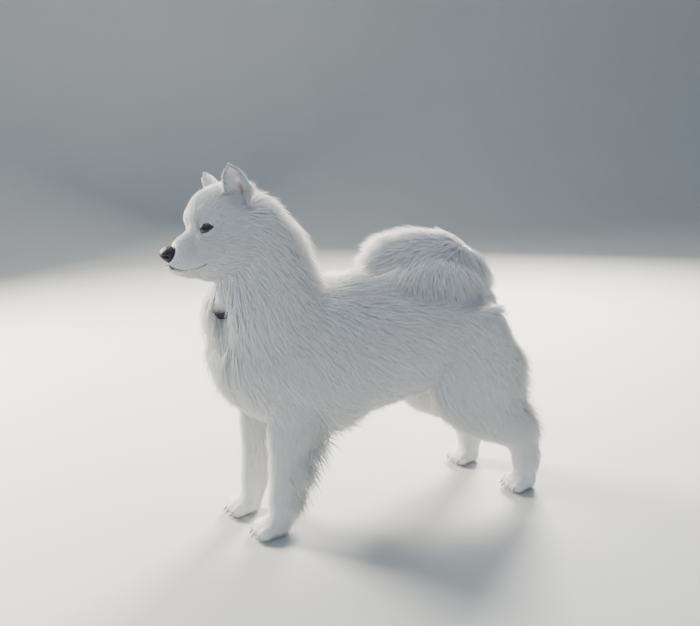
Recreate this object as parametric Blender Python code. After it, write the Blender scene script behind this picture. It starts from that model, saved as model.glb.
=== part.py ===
"""A life-size standing samoyed, built as closed solids in metres.

The dog faces -X, its left side is -Y and the floor is z = 0. The body is a few lofts through named
sections. The long coat is made of flat tapered locks that follow the lie of the hair. The whole is
joined in one piece and then parted by thin cuts into the sub-parts a person would name.
"""
import math
import random

import bmesh
import bpy
from mathutils import Matrix, Vector
from mathutils.bvhtree import BVHTree

GAP = 0.0003
CLOSE_POINTS = 0.00002
COAT_SEED = 110000
SIDES = {"left": -1, "right": 1}
ACROSS = Vector((0, 1, 0))
UPWARD = Vector((0, 0, 1))

# The middle of the whole on the floor, in the frame that the sizes below are given in
MIDDLE = Vector((0.21535, -0.00023, 0.0))

# Where each paw stands: along the body, and out from the middle plane
FORE_PAW = {"left": (0.000, 0.060), "right": (-0.030, 0.058)}
HIND_PAW = {"left": (0.000, 0.086), "right": (-0.045, 0.092)}

# Trunk sections under the outer half of the coat: x, top, bottom, half width, squareness
TRUNK = [
    (-0.080, 0.412, 0.358, 0.026, 2.0),
    (-0.070, 0.446, 0.318, 0.056, 2.0),
    (-0.040, 0.486, 0.264, 0.088, 2.1),
    (0.020, 0.506, 0.236, 0.108, 2.2),
    (0.080, 0.512, 0.226, 0.116, 2.2),
    (0.150, 0.503, 0.228, 0.119, 2.2),
    (0.220, 0.497, 0.238, 0.119, 2.2),
    (0.290, 0.495, 0.250, 0.115, 2.2),
    (0.360, 0.495, 0.268, 0.107, 2.2),
    (0.420, 0.492, 0.290, 0.101, 2.2),
    (0.468, 0.480, 0.316, 0.084, 2.1),
    (0.502, 0.455, 0.345, 0.058, 2.0),
    (0.518, 0.428, 0.378, 0.028, 2.0),
]
TRUNK_AROUND = 18

# Neck sections square to its axis: x, z, half depth to the throat, half depth to the nape, half width
NECK = [
    (-0.030, 0.665, 0.048, 0.058, 0.060),
    (-0.020, 0.620, 0.060, 0.076, 0.074),
    (-0.010, 0.570, 0.070, 0.086, 0.084),
    (0.002, 0.518, 0.088, 0.094, 0.094),
    (0.016, 0.468, 0.098, 0.100, 0.102),
    (0.030, 0.420, 0.090, 0.090, 0.098),
]
NECK_AROUND = 18

# Legs: x, z, half depth to the front, half depth to the back, half width
FORE_LEG = [
    (0.050, 0.330, 0.050, 0.060, 0.036),
    (0.044, 0.280, 0.048, 0.058, 0.042),
    (0.036, 0.235, 0.042, 0.048, 0.040),
    (0.026, 0.190, 0.035, 0.038, 0.035),
    (0.019, 0.140, 0.029, 0.031, 0.031),
    (0.014, 0.095, 0.027, 0.027, 0.030),
    (0.008, 0.055, 0.026, 0.026, 0.030),
    (0.002, 0.030, 0.022, 0.022, 0.026),
]
HIND_LEG = [
    (0.438, 0.440, 0.066, 0.062, 0.046),
    (0.440, 0.375, 0.088, 0.080, 0.060),
    (0.442, 0.315, 0.098, 0.090, 0.062),
    (0.450, 0.262, 0.096, 0.092, 0.054),
    (0.472, 0.215, 0.078, 0.078, 0.045),
    (0.508, 0.178, 0.054, 0.057, 0.037),
    (0.544, 0.145, 0.037, 0.043, 0.032),
    (0.567, 0.108, 0.031, 0.033, 0.029),
    (0.577, 0.065, 0.030, 0.031, 0.029),
    (0.575, 0.032, 0.024, 0.024, 0.026),
]
LEG_AROUND = 12
THIGH_TUCK = 0.020
PAW_LENGTH = 0.084
PAW_WIDTH = 0.064
PAW_HEIGHT = 0.046
TOES = 4
CLAW_LENGTH = 0.013
CLAW_RADIUS = 0.0034

# Tail: the middle line of its core and its radius, out of the croup and forward over the back
TAIL = [
    (0.455, 0.000, 0.440, 0.026),
    (0.484, 0.004, 0.484, 0.029),
    (0.480, 0.010, 0.522, 0.030),
    (0.444, 0.016, 0.543, 0.029),
    (0.385, 0.020, 0.550, 0.028),
    (0.325, 0.024, 0.549, 0.025),
    (0.278, 0.026, 0.541, 0.018),
]
TAIL_SPREAD = 1.45
TAIL_AROUND = 10

# Head frame: where the point between the eyes is, and how the head is turned and lowered
HEAD_CENTRE = Vector((-0.085, 0.0, 0.636))
HEAD_TURN = math.radians(8)
HEAD_NOD = math.radians(6)
HEAD_ROLL = math.radians(4)

# Head sections: forward, top, widest height, bottom, half width, squareness above and below
HEAD = [
    (-0.092, 0.026, -0.020, -0.058, 0.030, 2.0, 2.0),
    (-0.076, 0.053, -0.026, -0.082, 0.056, 2.0, 2.0),
    (-0.052, 0.069, -0.034, -0.098, 0.073, 2.0, 2.0),
    (-0.026, 0.074, -0.040, -0.105, 0.080, 1.9, 2.0),
    (-0.002, 0.069, -0.044, -0.107, 0.077, 1.8, 2.0),
    (0.016, 0.060, -0.046, -0.106, 0.067, 1.75, 2.1),
    (0.030, 0.048, -0.048, -0.102, 0.056, 1.75, 2.1),
    (0.040, 0.031, -0.050, -0.098, 0.048, 1.7, 2.2),
    (0.0445, 0.010, -0.051, -0.095, 0.043, 1.75, 2.2),
    (0.052, -0.004, -0.052, -0.092, 0.0385, 1.9, 2.3),
    (0.066, -0.011, -0.051, -0.088, 0.0325, 2.2, 2.4),
    (0.077, -0.018, -0.051, -0.082, 0.0280, 2.2, 2.4),
    (0.086, -0.025, -0.052, -0.076, 0.0225, 2.1, 2.2),
    (0.093, -0.036, -0.054, -0.070, 0.0160, 2.0, 2.0),
    (0.096, -0.045, -0.055, -0.063, 0.0080, 2.0, 2.0),
]
HEAD_AROUND = 26
FACE_FROM = 5

# Swellings and hollows of the head, for one side: place, reach and push in the head's frame
HEAD_SHAPING = [
    ((0.036, 0.024, -0.004), 0.014, (-0.005, -0.004, 0.000)),
    ((0.030, 0.027, 0.024), 0.016, (0.004, 0.003, 0.001)),
    ((0.044, 0.000, 0.010), 0.012, (-0.003, 0.000, -0.001)),
    ((0.000, 0.070, -0.040), 0.032, (0.000, 0.004, -0.002)),
    ((0.078, 0.028, -0.052), 0.016, (0.000, 0.003, 0.000)),
    ((0.062, 0.036, -0.088), 0.018, (0.000, -0.006, 0.002)),
]
EYE_AIM = Vector((0.0200, 0.0360, 0.0014))
EYE_RADIUS = 0.0122
EYE_TURN = math.radians(46)
EYE_TILT = math.radians(8)
LID_HALF_LENGTH = 0.0112
LID_HALF_HEIGHT = 0.0072
EYE_STAND = 0.0030
LID_DOME = (0.0014, 0.0055, 0.0022)
LID_RADIUS = 0.0016
OPENING_SHARE = 0.90

NOSE_CENTRE = (0.0875, 0.0, -0.0360)
NOSE_SIZE = (0.0160, 0.0185, 0.0140)
NOSTRIL = (0.1005, 0.0095, -0.0370)
NOSTRIL_SIZE = (0.0060, 0.0036, 0.0028)

# The line of the closed mouth: forward, out from the middle, up
MOUTH = [
    (0.0970, 0.0000, -0.0540),
    (0.0950, 0.0110, -0.0580),
    (0.0890, 0.0220, -0.0660),
    (0.0760, 0.0290, -0.0715),
    (0.0620, 0.0330, -0.0730),
    (0.0470, 0.0400, -0.0700),
    (0.0320, 0.0470, -0.0620),
    (0.0200, 0.0530, -0.0590),
]
MOUTH_RADIUS = 0.0016
LIP_RADIUS = 0.0028
LIP_DROP = 0.0036

EAR_BASE = Vector((-0.054, 0.048, 0.030))
EAR_TIPS = {1: Vector((-0.036, 0.063, 0.114)), -1: Vector((-0.028, 0.070, 0.104))}
EAR_HALF_WIDTH = 0.034
EAR_CUP = 0.020
EAR_THICKNESS = 0.006
EAR_FACING = math.radians(50)
EAR_SINK = 0.26
EAR_ROWS = 8
EAR_COLUMNS = 6

# The collar's ring: its plane runs from the throat up to the nape
COLLAR_THROAT = Vector((-0.100, 0.0, 0.462))
COLLAR_NAPE = Vector((0.110, 0.0, 0.560))
COLLAR_WIDTH = 0.012
COLLAR_THICKNESS = 0.003
COLLAR_LIFT = 0.001
COLLAR_AROUND = 36

# The lie of the coat, for both sides: place (x, out, z), direction (x, out, z), how far the tips
# stand off the core, the lock's length and its width. The places where it is short say 0.
COAT = [
    ((-0.120, 0.000, 0.610), (0.9, 0.0, -0.2), 0.000, 0.060, 0.040),
    ((-0.100, 0.030, 0.680), (0.9, 0.1, 0.1), 0.000, 0.060, 0.040),
    ((-0.060, 0.050, 0.700), (0.9, 0.3, -0.1), 0.000, 0.060, 0.040),
    ((-0.110, 0.045, 0.580), (0.9, 0.3, -0.3), 0.000, 0.060, 0.040),
    ((-0.140, 0.000, 0.550), (0.9, 0.0, -0.3), 0.000, 0.060, 0.040),
    ((-0.045, 0.078, 0.580), (0.50, 0.30, -0.80), 0.012, 0.092, 0.061),
    ((-0.020, 0.070, 0.640), (0.70, 0.30, -0.65), 0.012, 0.092, 0.061),
    ((0.000, 0.000, 0.695), (0.70, 0.0, -0.60), 0.012, 0.098, 0.066),
    ((0.050, 0.000, 0.620), (0.50, 0.0, -0.87), 0.030, 0.127, 0.074),
    ((0.085, 0.000, 0.560), (0.60, 0.0, -0.80), 0.028, 0.127, 0.077),
    ((0.040, 0.080, 0.590), (0.50, 0.20, -0.85), 0.028, 0.127, 0.074),
    ((-0.010, 0.095, 0.540), (0.35, 0.15, -0.93), 0.030, 0.127, 0.074),
    ((-0.060, 0.070, 0.520), (0.20, 0.20, -0.96), 0.030, 0.121, 0.071),
    ((-0.090, 0.000, 0.500), (0.10, 0.0, -1.00), 0.034, 0.121, 0.069),
    ((-0.090, 0.040, 0.430), (0.20, 0.15, -0.96), 0.040, 0.132, 0.074),
    ((-0.080, 0.000, 0.380), (0.35, 0.0, -0.94), 0.042, 0.132, 0.074),
    ((-0.060, 0.060, 0.340), (0.50, 0.05, -0.85), 0.032, 0.127, 0.074),
    ((0.030, 0.110, 0.450), (0.60, 0.10, -0.80), 0.024, 0.138, 0.082),
    ((0.020, 0.110, 0.360), (0.45, 0.05, -0.90), 0.020, 0.132, 0.079),
    ((0.110, 0.020, 0.515), (0.95, 0.05, -0.25), 0.018, 0.132, 0.082),
    ((0.300, 0.000, 0.495), (1.00, 0.0, -0.05), 0.015, 0.127, 0.084),
    ((0.300, 0.090, 0.450), (0.92, 0.15, -0.40), 0.018, 0.138, 0.087),
    ((0.200, 0.120, 0.380), (0.80, 0.05, -0.60), 0.020, 0.138, 0.090),
    ((0.300, 0.115, 0.330), (0.80, 0.05, -0.60), 0.020, 0.132, 0.087),
    ((0.200, 0.090, 0.270), (0.65, 0.00, -0.76), 0.022, 0.121, 0.079),
    ((0.240, 0.000, 0.245), (0.90, 0.0, -0.35), 0.016, 0.103, 0.074),
    ((0.040, 0.000, 0.235), (0.90, 0.0, -0.40), 0.016, 0.103, 0.074),
    ((0.350, 0.080, 0.240), (0.70, 0.00, -0.70), 0.016, 0.098, 0.069),
    ((0.440, 0.030, 0.490), (0.90, 0.20, -0.35), 0.020, 0.121, 0.074),
    ((0.430, 0.110, 0.370), (0.65, 0.05, -0.78), 0.018, 0.132, 0.082),
    ((0.430, 0.115, 0.280), (0.55, 0.00, -0.84), 0.016, 0.121, 0.074),
    ((0.515, 0.040, 0.420), (0.60, 0.10, -0.80), 0.034, 0.132, 0.074),
    ((0.530, 0.060, 0.330), (0.62, 0.02, -0.78), 0.052, 0.132, 0.069),
    ((0.540, 0.070, 0.250), (0.62, 0.00, -0.78), 0.048, 0.115, 0.061),
    ((0.560, 0.080, 0.190), (0.55, 0.00, -0.84), 0.024, 0.086, 0.048),
    ((0.500, 0.115, 0.200), (0.55, 0.00, -0.84), 0.000, 0.070, 0.036),
    ((0.600, 0.090, 0.100), (0.30, 0.00, -0.95), 0.000, 0.050, 0.030),
    ((0.560, 0.090, 0.050), (0.00, 0.00, -1.00), 0.000, 0.050, 0.030),
    ((0.440, 0.090, 0.200), (0.50, 0.00, -0.85), 0.000, 0.070, 0.036),
    ((0.075, 0.058, 0.225), (0.60, 0.00, -0.80), 0.036, 0.115, 0.055),
    ((0.060, 0.058, 0.150), (0.60, 0.00, -0.80), 0.038, 0.103, 0.048),
    ((0.044, 0.058, 0.085), (0.60, 0.00, -0.80), 0.026, 0.069, 0.040),
    ((0.020, 0.095, 0.190), (0.30, 0.00, -0.95), 0.000, 0.050, 0.030),
    ((-0.010, 0.058, 0.150), (0.10, 0.00, -1.00), 0.000, 0.050, 0.030),
    ((0.015, 0.090, 0.100), (0.30, 0.00, -0.95), 0.000, 0.050, 0.030),
    ((0.015, 0.030, 0.120), (0.30, 0.00, -0.95), 0.000, 0.050, 0.030),
    ((0.000, 0.058, 0.030), (0.10, 0.00, -1.00), 0.000, 0.050, 0.030),
    ((-0.030, 0.058, 0.010), (0.10, 0.00, -1.00), 0.000, 0.050, 0.030),
]
SHORTEST_COAT = 0.010
ROOT_TRIES = 40000
ROOT_REACH = 0.040
LEAST_REACH = 0.004
FEEL_HEIGHT = 0.030
ROOM = 0.98
LOCK_SINK = 0.009

# A lock from root to tip: share of its length, half width as a share, height of its ridge
LOCK_SHAPE = [
    (0.00, 0.36, 0.0090),
    (0.38, 0.50, 0.0110),
    (0.76, 0.34, 0.0075),
    (1.00, 0.00, 0.0000),
]
LOCK_BEND = 0.55
LOCK_STRAY = 0.0004
LEAST_ADVANCE = 0.004

# The tail's plume: how far locks rise off it, their length and width, and how close they stand
PLUME = (0.033, 0.115, 0.056)
PLUME_ROOM = 0.75


def clear_scene():
    for obj in list(bpy.data.objects):
        bpy.data.objects.remove(obj)


def material(name, colour, roughness):
    """A plain finish for one kind of surface."""
    made = bpy.data.materials.new(name)
    made.use_nodes = True
    shader = made.node_tree.nodes["Principled BSDF"]
    shader.inputs["Base Color"].default_value = (*colour, 1.0)
    shader.inputs["Roughness"].default_value = roughness
    made.diffuse_color = (*colour, 1.0)
    return made


def new_object(name, bm):
    """Turns a bmesh into an object whose faces point out."""
    bmesh.ops.recalc_face_normals(bm, faces=bm.faces)
    if bm.calc_volume(signed=True) < 0:
        bmesh.ops.reverse_faces(bm, faces=bm.faces)
    mesh = bpy.data.meshes.new(name)
    bm.to_mesh(mesh)
    bm.free()
    obj = bpy.data.objects.new(name, mesh)
    bpy.context.scene.collection.objects.link(obj)
    return obj


def smooth_rows(table, steps):
    """Rows of numbers along a smooth curve through the table's rows, steps to each interval."""
    rows = []
    last = len(table) - 1
    for i in range(last):
        before, start = table[max(i - 1, 0)], table[i]
        end, after = table[i + 1], table[min(i + 2, last)]
        for step in range(steps):
            t = step / steps
            rows.append([
                0.5 * (2 * b + (c - a) * t + (2 * a - 5 * b + 4 * c - d) * t * t
                       + (3 * b - a - 3 * c + d) * t ** 3)
                for a, b, c, d in zip(before, start, end, after)
            ])
    rows.append(list(table[last]))
    return rows


def section(centre, side, up, half, over, under, square, count):
    """Points of one rounded section: its half width, height over and under centre, squareness."""
    square_over, square_under = square
    points = []
    for i in range(count):
        angle = math.tau * (i + 0.5) / count
        c, s = math.cos(angle), math.sin(angle)
        power = 2 / (square_over if s > 0 else square_under)
        across = math.copysign(abs(c) ** power, c) * half
        height = math.copysign(abs(s) ** power, s) * (over if s > 0 else under)
        points.append(centre + side * across + up * height)
    return points


def loft(rings):
    """A closed bmesh skinned through rings of equal count, with a fan over each end."""
    bm = bmesh.new()
    rows = [[bm.verts.new(point) for point in ring] for ring in rings]
    count = len(rows[0])
    for first, second in zip(rows, rows[1:]):
        for i in range(count):
            j = (i + 1) % count
            bm.faces.new((first[i], first[j], second[j], second[i]))
    for row in (rows[0], rows[-1]):
        middle = bm.verts.new(sum((v.co for v in row), Vector()) / count)
        for i in range(count):
            bm.faces.new((row[i], row[(i + 1) % count], middle))
    bmesh.ops.recalc_face_normals(bm, faces=bm.faces)
    return bm


def ball(centre, sizes, segments, rings, turn=None):
    """A closed ellipsoid bmesh."""
    bm = bmesh.new()
    bmesh.ops.create_uvsphere(bm, u_segments=segments, v_segments=rings, radius=1.0)
    place = Matrix.Translation(centre)
    if turn:
        place = place @ turn.to_4x4()
    bmesh.ops.transform(bm, matrix=place @ Matrix.Diagonal((*sizes, 1)), verts=bm.verts)
    return bm


def tube(path, radii, sides):
    """A closed round tube along a path."""
    rings = []
    for i, point in enumerate(path):
        along = (path[min(i + 1, len(path) - 1)] - path[max(i - 1, 0)]).normalized()
        side = along.cross(Vector((0.31, 0.17, 0.93))).normalized()
        up = side.cross(along)
        rings.append(section(point, side, up, radii[i], radii[i], radii[i], (2, 2), sides))
    return loft(rings)


def ring_tube(path, radius, sides):
    """A closed loop of round tube."""
    bm = bmesh.new()
    rows = []
    count = len(path)
    middle = sum(path, Vector()) / count
    for i, point in enumerate(path):
        along = (path[(i + 1) % count] - path[i - 1]).normalized()
        outward = point - middle
        outward = (outward - along * outward.dot(along)).normalized()
        up = outward.cross(along)
        rows.append([bm.verts.new(p) for p in
                     section(point, outward, up, radius, radius, radius, (2, 2), sides)])
    for i in range(count):
        first, second = rows[i], rows[(i + 1) % count]
        for j in range(sides):
            k = (j + 1) % sides
            bm.faces.new((first[j], first[k], second[k], second[j]))
    bmesh.ops.recalc_face_normals(bm, faces=bm.faces)
    return bm


def box(centre, axes, halves):
    """A closed box with its own axes."""
    bm = bmesh.new()
    bmesh.ops.create_cube(bm, size=2.0)
    turn = Matrix(axes).transposed().to_4x4()
    bmesh.ops.transform(bm, matrix=Matrix.Translation(centre) @ turn @ Matrix.Diagonal((*halves, 1)),
                        verts=bm.verts)
    return bm


def apply_modifiers(obj):
    graph = bpy.context.evaluated_depsgraph_get()
    mesh = bpy.data.meshes.new_from_object(obj.evaluated_get(graph))
    obj.modifiers.clear()
    old = obj.data
    obj.data = mesh
    bpy.data.meshes.remove(old)


def combine(obj, others, operation):
    """Applies one Boolean with all the others, which are then removed."""
    group = bpy.data.collections.new("operands")
    bpy.context.scene.collection.children.link(group)
    for other in others:
        group.objects.link(other)
        bpy.context.scene.collection.objects.unlink(other)
    modifier = obj.modifiers.new("combine", "BOOLEAN")
    modifier.operation = operation
    modifier.solver = "MANIFOLD"
    modifier.operand_type = "COLLECTION"
    modifier.collection = group
    apply_modifiers(obj)
    for other in others:
        bpy.data.objects.remove(other)
    bpy.data.collections.remove(group)
    tidy_object(obj)


def tidy(bm):
    """Triangles, with the points that a Boolean leaves too close to each other joined in one."""
    bmesh.ops.triangulate(bm, faces=bm.faces)
    found = True
    while found:
        found = False
        for edge in list(bm.edges):
            if not edge.is_valid or edge.calc_length() > CLOSE_POINTS:
                continue
            kept, dropped = edge.verts
            shared = ({e.other_vert(kept) for e in kept.link_edges}
                      & {e.other_vert(dropped) for e in dropped.link_edges})
            if len(shared) == 2:
                bmesh.ops.weld_verts(bm, targetmap={dropped: kept})
                found = True


def tidy_object(obj):
    bm = bmesh.new()
    bm.from_mesh(obj.data)
    tidy(bm)
    bm.to_mesh(obj.data)
    bm.free()


def joined(name, bms):
    """One object from several closed bmeshes by a union."""
    pieces = [new_object(name if i == 0 else f"{name}_piece", bm) for i, bm in enumerate(bms)]
    if len(pieces) > 1:
        combine(pieces[0], pieces[1:], "UNION")
    return pieces[0]


def cut(obj, bms):
    combine(obj, [new_object("cutter", bm) for bm in bms], "DIFFERENCE")


def copied(obj, name):
    """A second object with its own copy of the mesh."""
    made = bpy.data.objects.new(name, obj.data.copy())
    bpy.context.scene.collection.objects.link(made)
    return made


def surface(obj):
    """The object's surface for finding near points."""
    bm = bmesh.new()
    bm.from_mesh(obj.data)
    tree = BVHTree.FromBMesh(bm)
    bm.free()
    return tree


def limb_rings(table, shift, out, count):
    """Sections square to a limb's middle line in its own upright plane."""
    rings = []
    for i, (x, z, front, back, half) in enumerate(table):
        above, below = table[max(i - 1, 0)], table[min(i + 1, len(table) - 1)]
        along = Vector((below[0] - above[0], 0, below[1] - above[1])).normalized()
        forward = Vector((along.z, 0, -along.x))
        rings.append(section(Vector((x + shift, out, z)), ACROSS, forward, half, front, back,
                             (2.1, 2.1), count))
    return rings


def trunk():
    rings = []
    for x, top, bottom, half, square in TRUNK:
        height = (top - bottom) / 2
        rings.append(section(Vector((x, 0, bottom + height)), ACROSS, UPWARD, half, height, height,
                             (square, square), TRUNK_AROUND))
    return loft(rings)


def paw(shift, out, heel_x):
    """The ball of the foot with its toes and claws."""
    middle = Vector((heel_x + shift - 0.020, out, PAW_HEIGHT * 0.42))
    pieces = [ball(middle, (PAW_LENGTH * 0.40, PAW_WIDTH * 0.46, PAW_HEIGHT * 0.52), 12, 5)]
    for toe in range(TOES):
        spread = (toe - (TOES - 1) / 2) / (TOES - 1)
        reach = 0.050 - 0.030 * spread * spread
        centre = Vector((heel_x + shift - reach, out + spread * PAW_WIDTH * 0.74, 0.0165))
        pieces.append(ball(centre, (0.0195, 0.0105, 0.0175), 8, 4))
        claw = bmesh.new()
        bmesh.ops.create_cone(claw, cap_ends=True, segments=5, radius1=CLAW_RADIUS,
                              radius2=0.0008, depth=CLAW_LENGTH)
        lean = Matrix.Rotation(math.radians(-118), 4, "Y")
        place = Matrix.Translation(centre + Vector((-0.0195, 0, -0.0070)))
        bmesh.ops.transform(claw, matrix=place @ lean, verts=claw.verts)
        pieces.append(claw)
    return pieces


def fore_leg(side):
    shift, out = FORE_PAW[side]
    out *= SIDES[side]
    return [loft(limb_rings(FORE_LEG, shift, out, LEG_AROUND)), *paw(shift, out, 0.012)]


def hind_leg(side):
    """The thigh keeps its place on the trunk while the foot stands further on."""
    shift, out = HIND_PAW[side]
    out *= SIDES[side]
    rows = [(x + shift * min(1.0, max(0.0, (0.36 - z) / 0.22)), z, front, back, half)
            for x, z, front, back, half in HIND_LEG]
    leg = loft(limb_rings(rows, 0, out, LEG_AROUND + 2))
    for vert in leg.verts:
        high = min(1.0, max(0.0, (vert.co.z - 0.15) / 0.25))
        vert.co.y -= THIGH_TUCK * SIDES[side] * high
    return [leg, *paw(shift, out, 0.590)]


def tail_core():
    rows = smooth_rows(TAIL, 2)
    rings = []
    for i, (x, y, z, radius) in enumerate(rows):
        above, below = rows[max(i - 1, 0)], rows[min(i + 1, len(rows) - 1)]
        along = (Vector(below[:3]) - Vector(above[:3])).normalized()
        side = along.cross(UPWARD if abs(along.z) < 0.9 else Vector((1, 0, 0))).normalized()
        if side.y < 0:
            side = -side
        spread = radius * (1 + (TAIL_SPREAD - 1) * min(1.0, i / 5))
        rings.append(section(Vector((x, y, z)), side, side.cross(along), spread, radius, radius,
                             (2, 2), TAIL_AROUND))
    return loft(rings)


def head_matrix():
    """From the head's own frame (forward, to its left, up) to the body's."""
    forward = Vector((-math.cos(HEAD_TURN) * math.cos(HEAD_NOD),
                      -math.sin(HEAD_TURN) * math.cos(HEAD_NOD), -math.sin(HEAD_NOD)))
    left = UPWARD.cross(forward).normalized()
    turn = Matrix((forward, left, forward.cross(left))).transposed().to_4x4()
    return Matrix.Translation(HEAD_CENTRE) @ turn @ Matrix.Rotation(HEAD_ROLL, 4, "X")


def mirrored(point, mirror):
    return Vector((point[0], point[1] * mirror, point[2]))


def shaped(point):
    """A point of the head after every swelling and hollow on both sides."""
    moved = point.copy()
    for place, reach, push in HEAD_SHAPING:
        for mirror in (1, -1):
            fall = math.exp(-((point - mirrored(place, mirror)).length / reach) ** 2)
            moved += mirrored(push, mirror) * fall
    return moved


def skull():
    rings = []
    rows = HEAD[:FACE_FROM] + smooth_rows(HEAD, 2)[FACE_FROM * 2:]
    for forward, top, wide, bottom, half, square_over, square_under in rows:
        ring = section(Vector((forward, 0, wide)), ACROSS, UPWARD, half, top - wide, wide - bottom,
                       (square_over, square_under), HEAD_AROUND)
        rings.append([shaped(point) for point in ring])
    return loft(rings)


def eye_axes(mirror):
    """Out of the eye, along its opening towards the ear, and across the opening."""
    out = Vector((math.cos(EYE_TURN), math.sin(EYE_TURN) * mirror, 0.10)).normalized()
    along = UPWARD.cross(out).normalized() * mirror
    up = (out.cross(along) * -mirror).normalized()
    if up.z < 0:
        up = -up
    tilted = (along * math.cos(EYE_TILT) + up * math.sin(EYE_TILT)).normalized()
    across = (up * math.cos(EYE_TILT) - along * math.sin(EYE_TILT)).normalized()
    return out, tilted, across


def eye_centre(skin, mirror):
    """The eyeball stands a little proud of the skin round it, under its lids."""
    out, _, _ = eye_axes(mirror)
    start = mirrored(EYE_AIM, mirror) + out * 0.05
    found = skin.ray_cast(start, -out)[0]
    return found - out * (EYE_RADIUS - EYE_STAND)


def almond(share, out, along, across, centre, reach, count=16):
    """The rim of the eye's opening on a sphere of the given radius."""
    rim = []
    for i in range(count):
        angle = math.tau * i / count
        c, s = math.cos(angle), math.sin(angle)
        x = LID_HALF_LENGTH * share * c
        y = LID_HALF_HEIGHT * share * math.copysign(abs(s) ** 1.35, s)
        away = math.sqrt(max(reach * reach - x * x - y * y, 0.0))
        rim.append(centre + along * x + across * y + out * away)
    return rim


def prism(rim, shift):
    """A closed prism between a rim and its shifted copy."""
    return loft([rim, [point + shift for point in rim]])


def mouth_path(skin, mirror):
    """The mouth's line laid on the skin."""
    path = []
    for row in MOUTH:
        near, normal, _, _ = skin.find_nearest(mirrored(row, mirror))
        path.append((near, normal))
    return path


def ear(mirror, grow=0.0):
    """A cupped leaf with a rounded tip, as a closed shell grown by a margin."""
    along = (EAR_TIPS[mirror] - EAR_BASE).normalized()
    facing = Vector((math.cos(EAR_FACING), math.sin(EAR_FACING), 0.05))
    facing = (facing - along * facing.dot(along)).normalized()
    side = along.cross(facing).normalized()
    length = (EAR_TIPS[mirror] - EAR_BASE).length
    bm = bmesh.new()
    front, back = [], []
    for i in range(EAR_ROWS + 1):
        v = -EAR_SINK + (1 + EAR_SINK) * math.sin(1.35 * i / EAR_ROWS) / math.sin(1.35)
        top = max(v, 0.0)
        width = EAR_HALF_WIDTH * (1 - 0.30 * top) * math.sqrt(max(1 - top ** 6, 0.03))
        cup = EAR_CUP * (1 - top) ** 0.8
        front_row, back_row = [], []
        for j in range(EAR_COLUMNS + 1):
            u = 2 * j / EAR_COLUMNS - 1
            round_tip = -0.004 * u * u * top
            middle = (EAR_BASE + along * (v * length + round_tip) + side * u * (width + grow)
                      - facing * cup * (1 - u * u))
            half = (EAR_THICKNESS * (1 - 0.55 * top) * (1 - 0.55 * u * u)) / 2 + grow
            lift = along * (grow if i == EAR_ROWS else 0.0)
            front_row.append(bm.verts.new(mirrored(middle + facing * half + lift, mirror)))
            back_row.append(bm.verts.new(mirrored(middle - facing * half + lift, mirror)))
        front.append(front_row)
        back.append(back_row)
    for i in range(EAR_ROWS):
        for j in range(EAR_COLUMNS):
            bm.faces.new((front[i][j], front[i][j + 1], front[i + 1][j + 1], front[i + 1][j]))
            bm.faces.new((back[i][j], back[i + 1][j], back[i + 1][j + 1], back[i][j + 1]))
        for j in (0, EAR_COLUMNS):
            bm.faces.new((front[i][j], back[i][j], back[i + 1][j], front[i + 1][j]))
    for j in range(EAR_COLUMNS):
        for i in (0, EAR_ROWS):
            bm.faces.new((front[i][j], back[i][j], back[i][j + 1], front[i][j + 1]))
    bmesh.ops.recalc_face_normals(bm, faces=bm.faces)
    bmesh.ops.triangulate(bm, faces=bm.faces)
    return bm


def nose(grow=0.0):
    """The nose pad: wide above, drawn in to the lip below."""
    bm = ball(NOSE_CENTRE, [size + grow for size in NOSE_SIZE], 14, 10)
    for vert in bm.verts:
        low = max(0.0, (NOSE_CENTRE[2] - vert.co.z) / NOSE_SIZE[2])
        vert.co.y *= 1 - 0.42 * low
        vert.co.x -= 0.003 * low
        if vert.co.z > NOSE_CENTRE[2]:
            vert.co.z -= 0.15 * (vert.co.z - NOSE_CENTRE[2])
    return bm


def ear_rooms():
    """The two ears grown by the gap, in the body's frame."""
    rooms = [ear(mirror, GAP) for mirror in (1, -1)]
    for bm in rooms:
        bmesh.ops.transform(bm, matrix=head_matrix(), verts=bm.verts)
    return rooms


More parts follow.
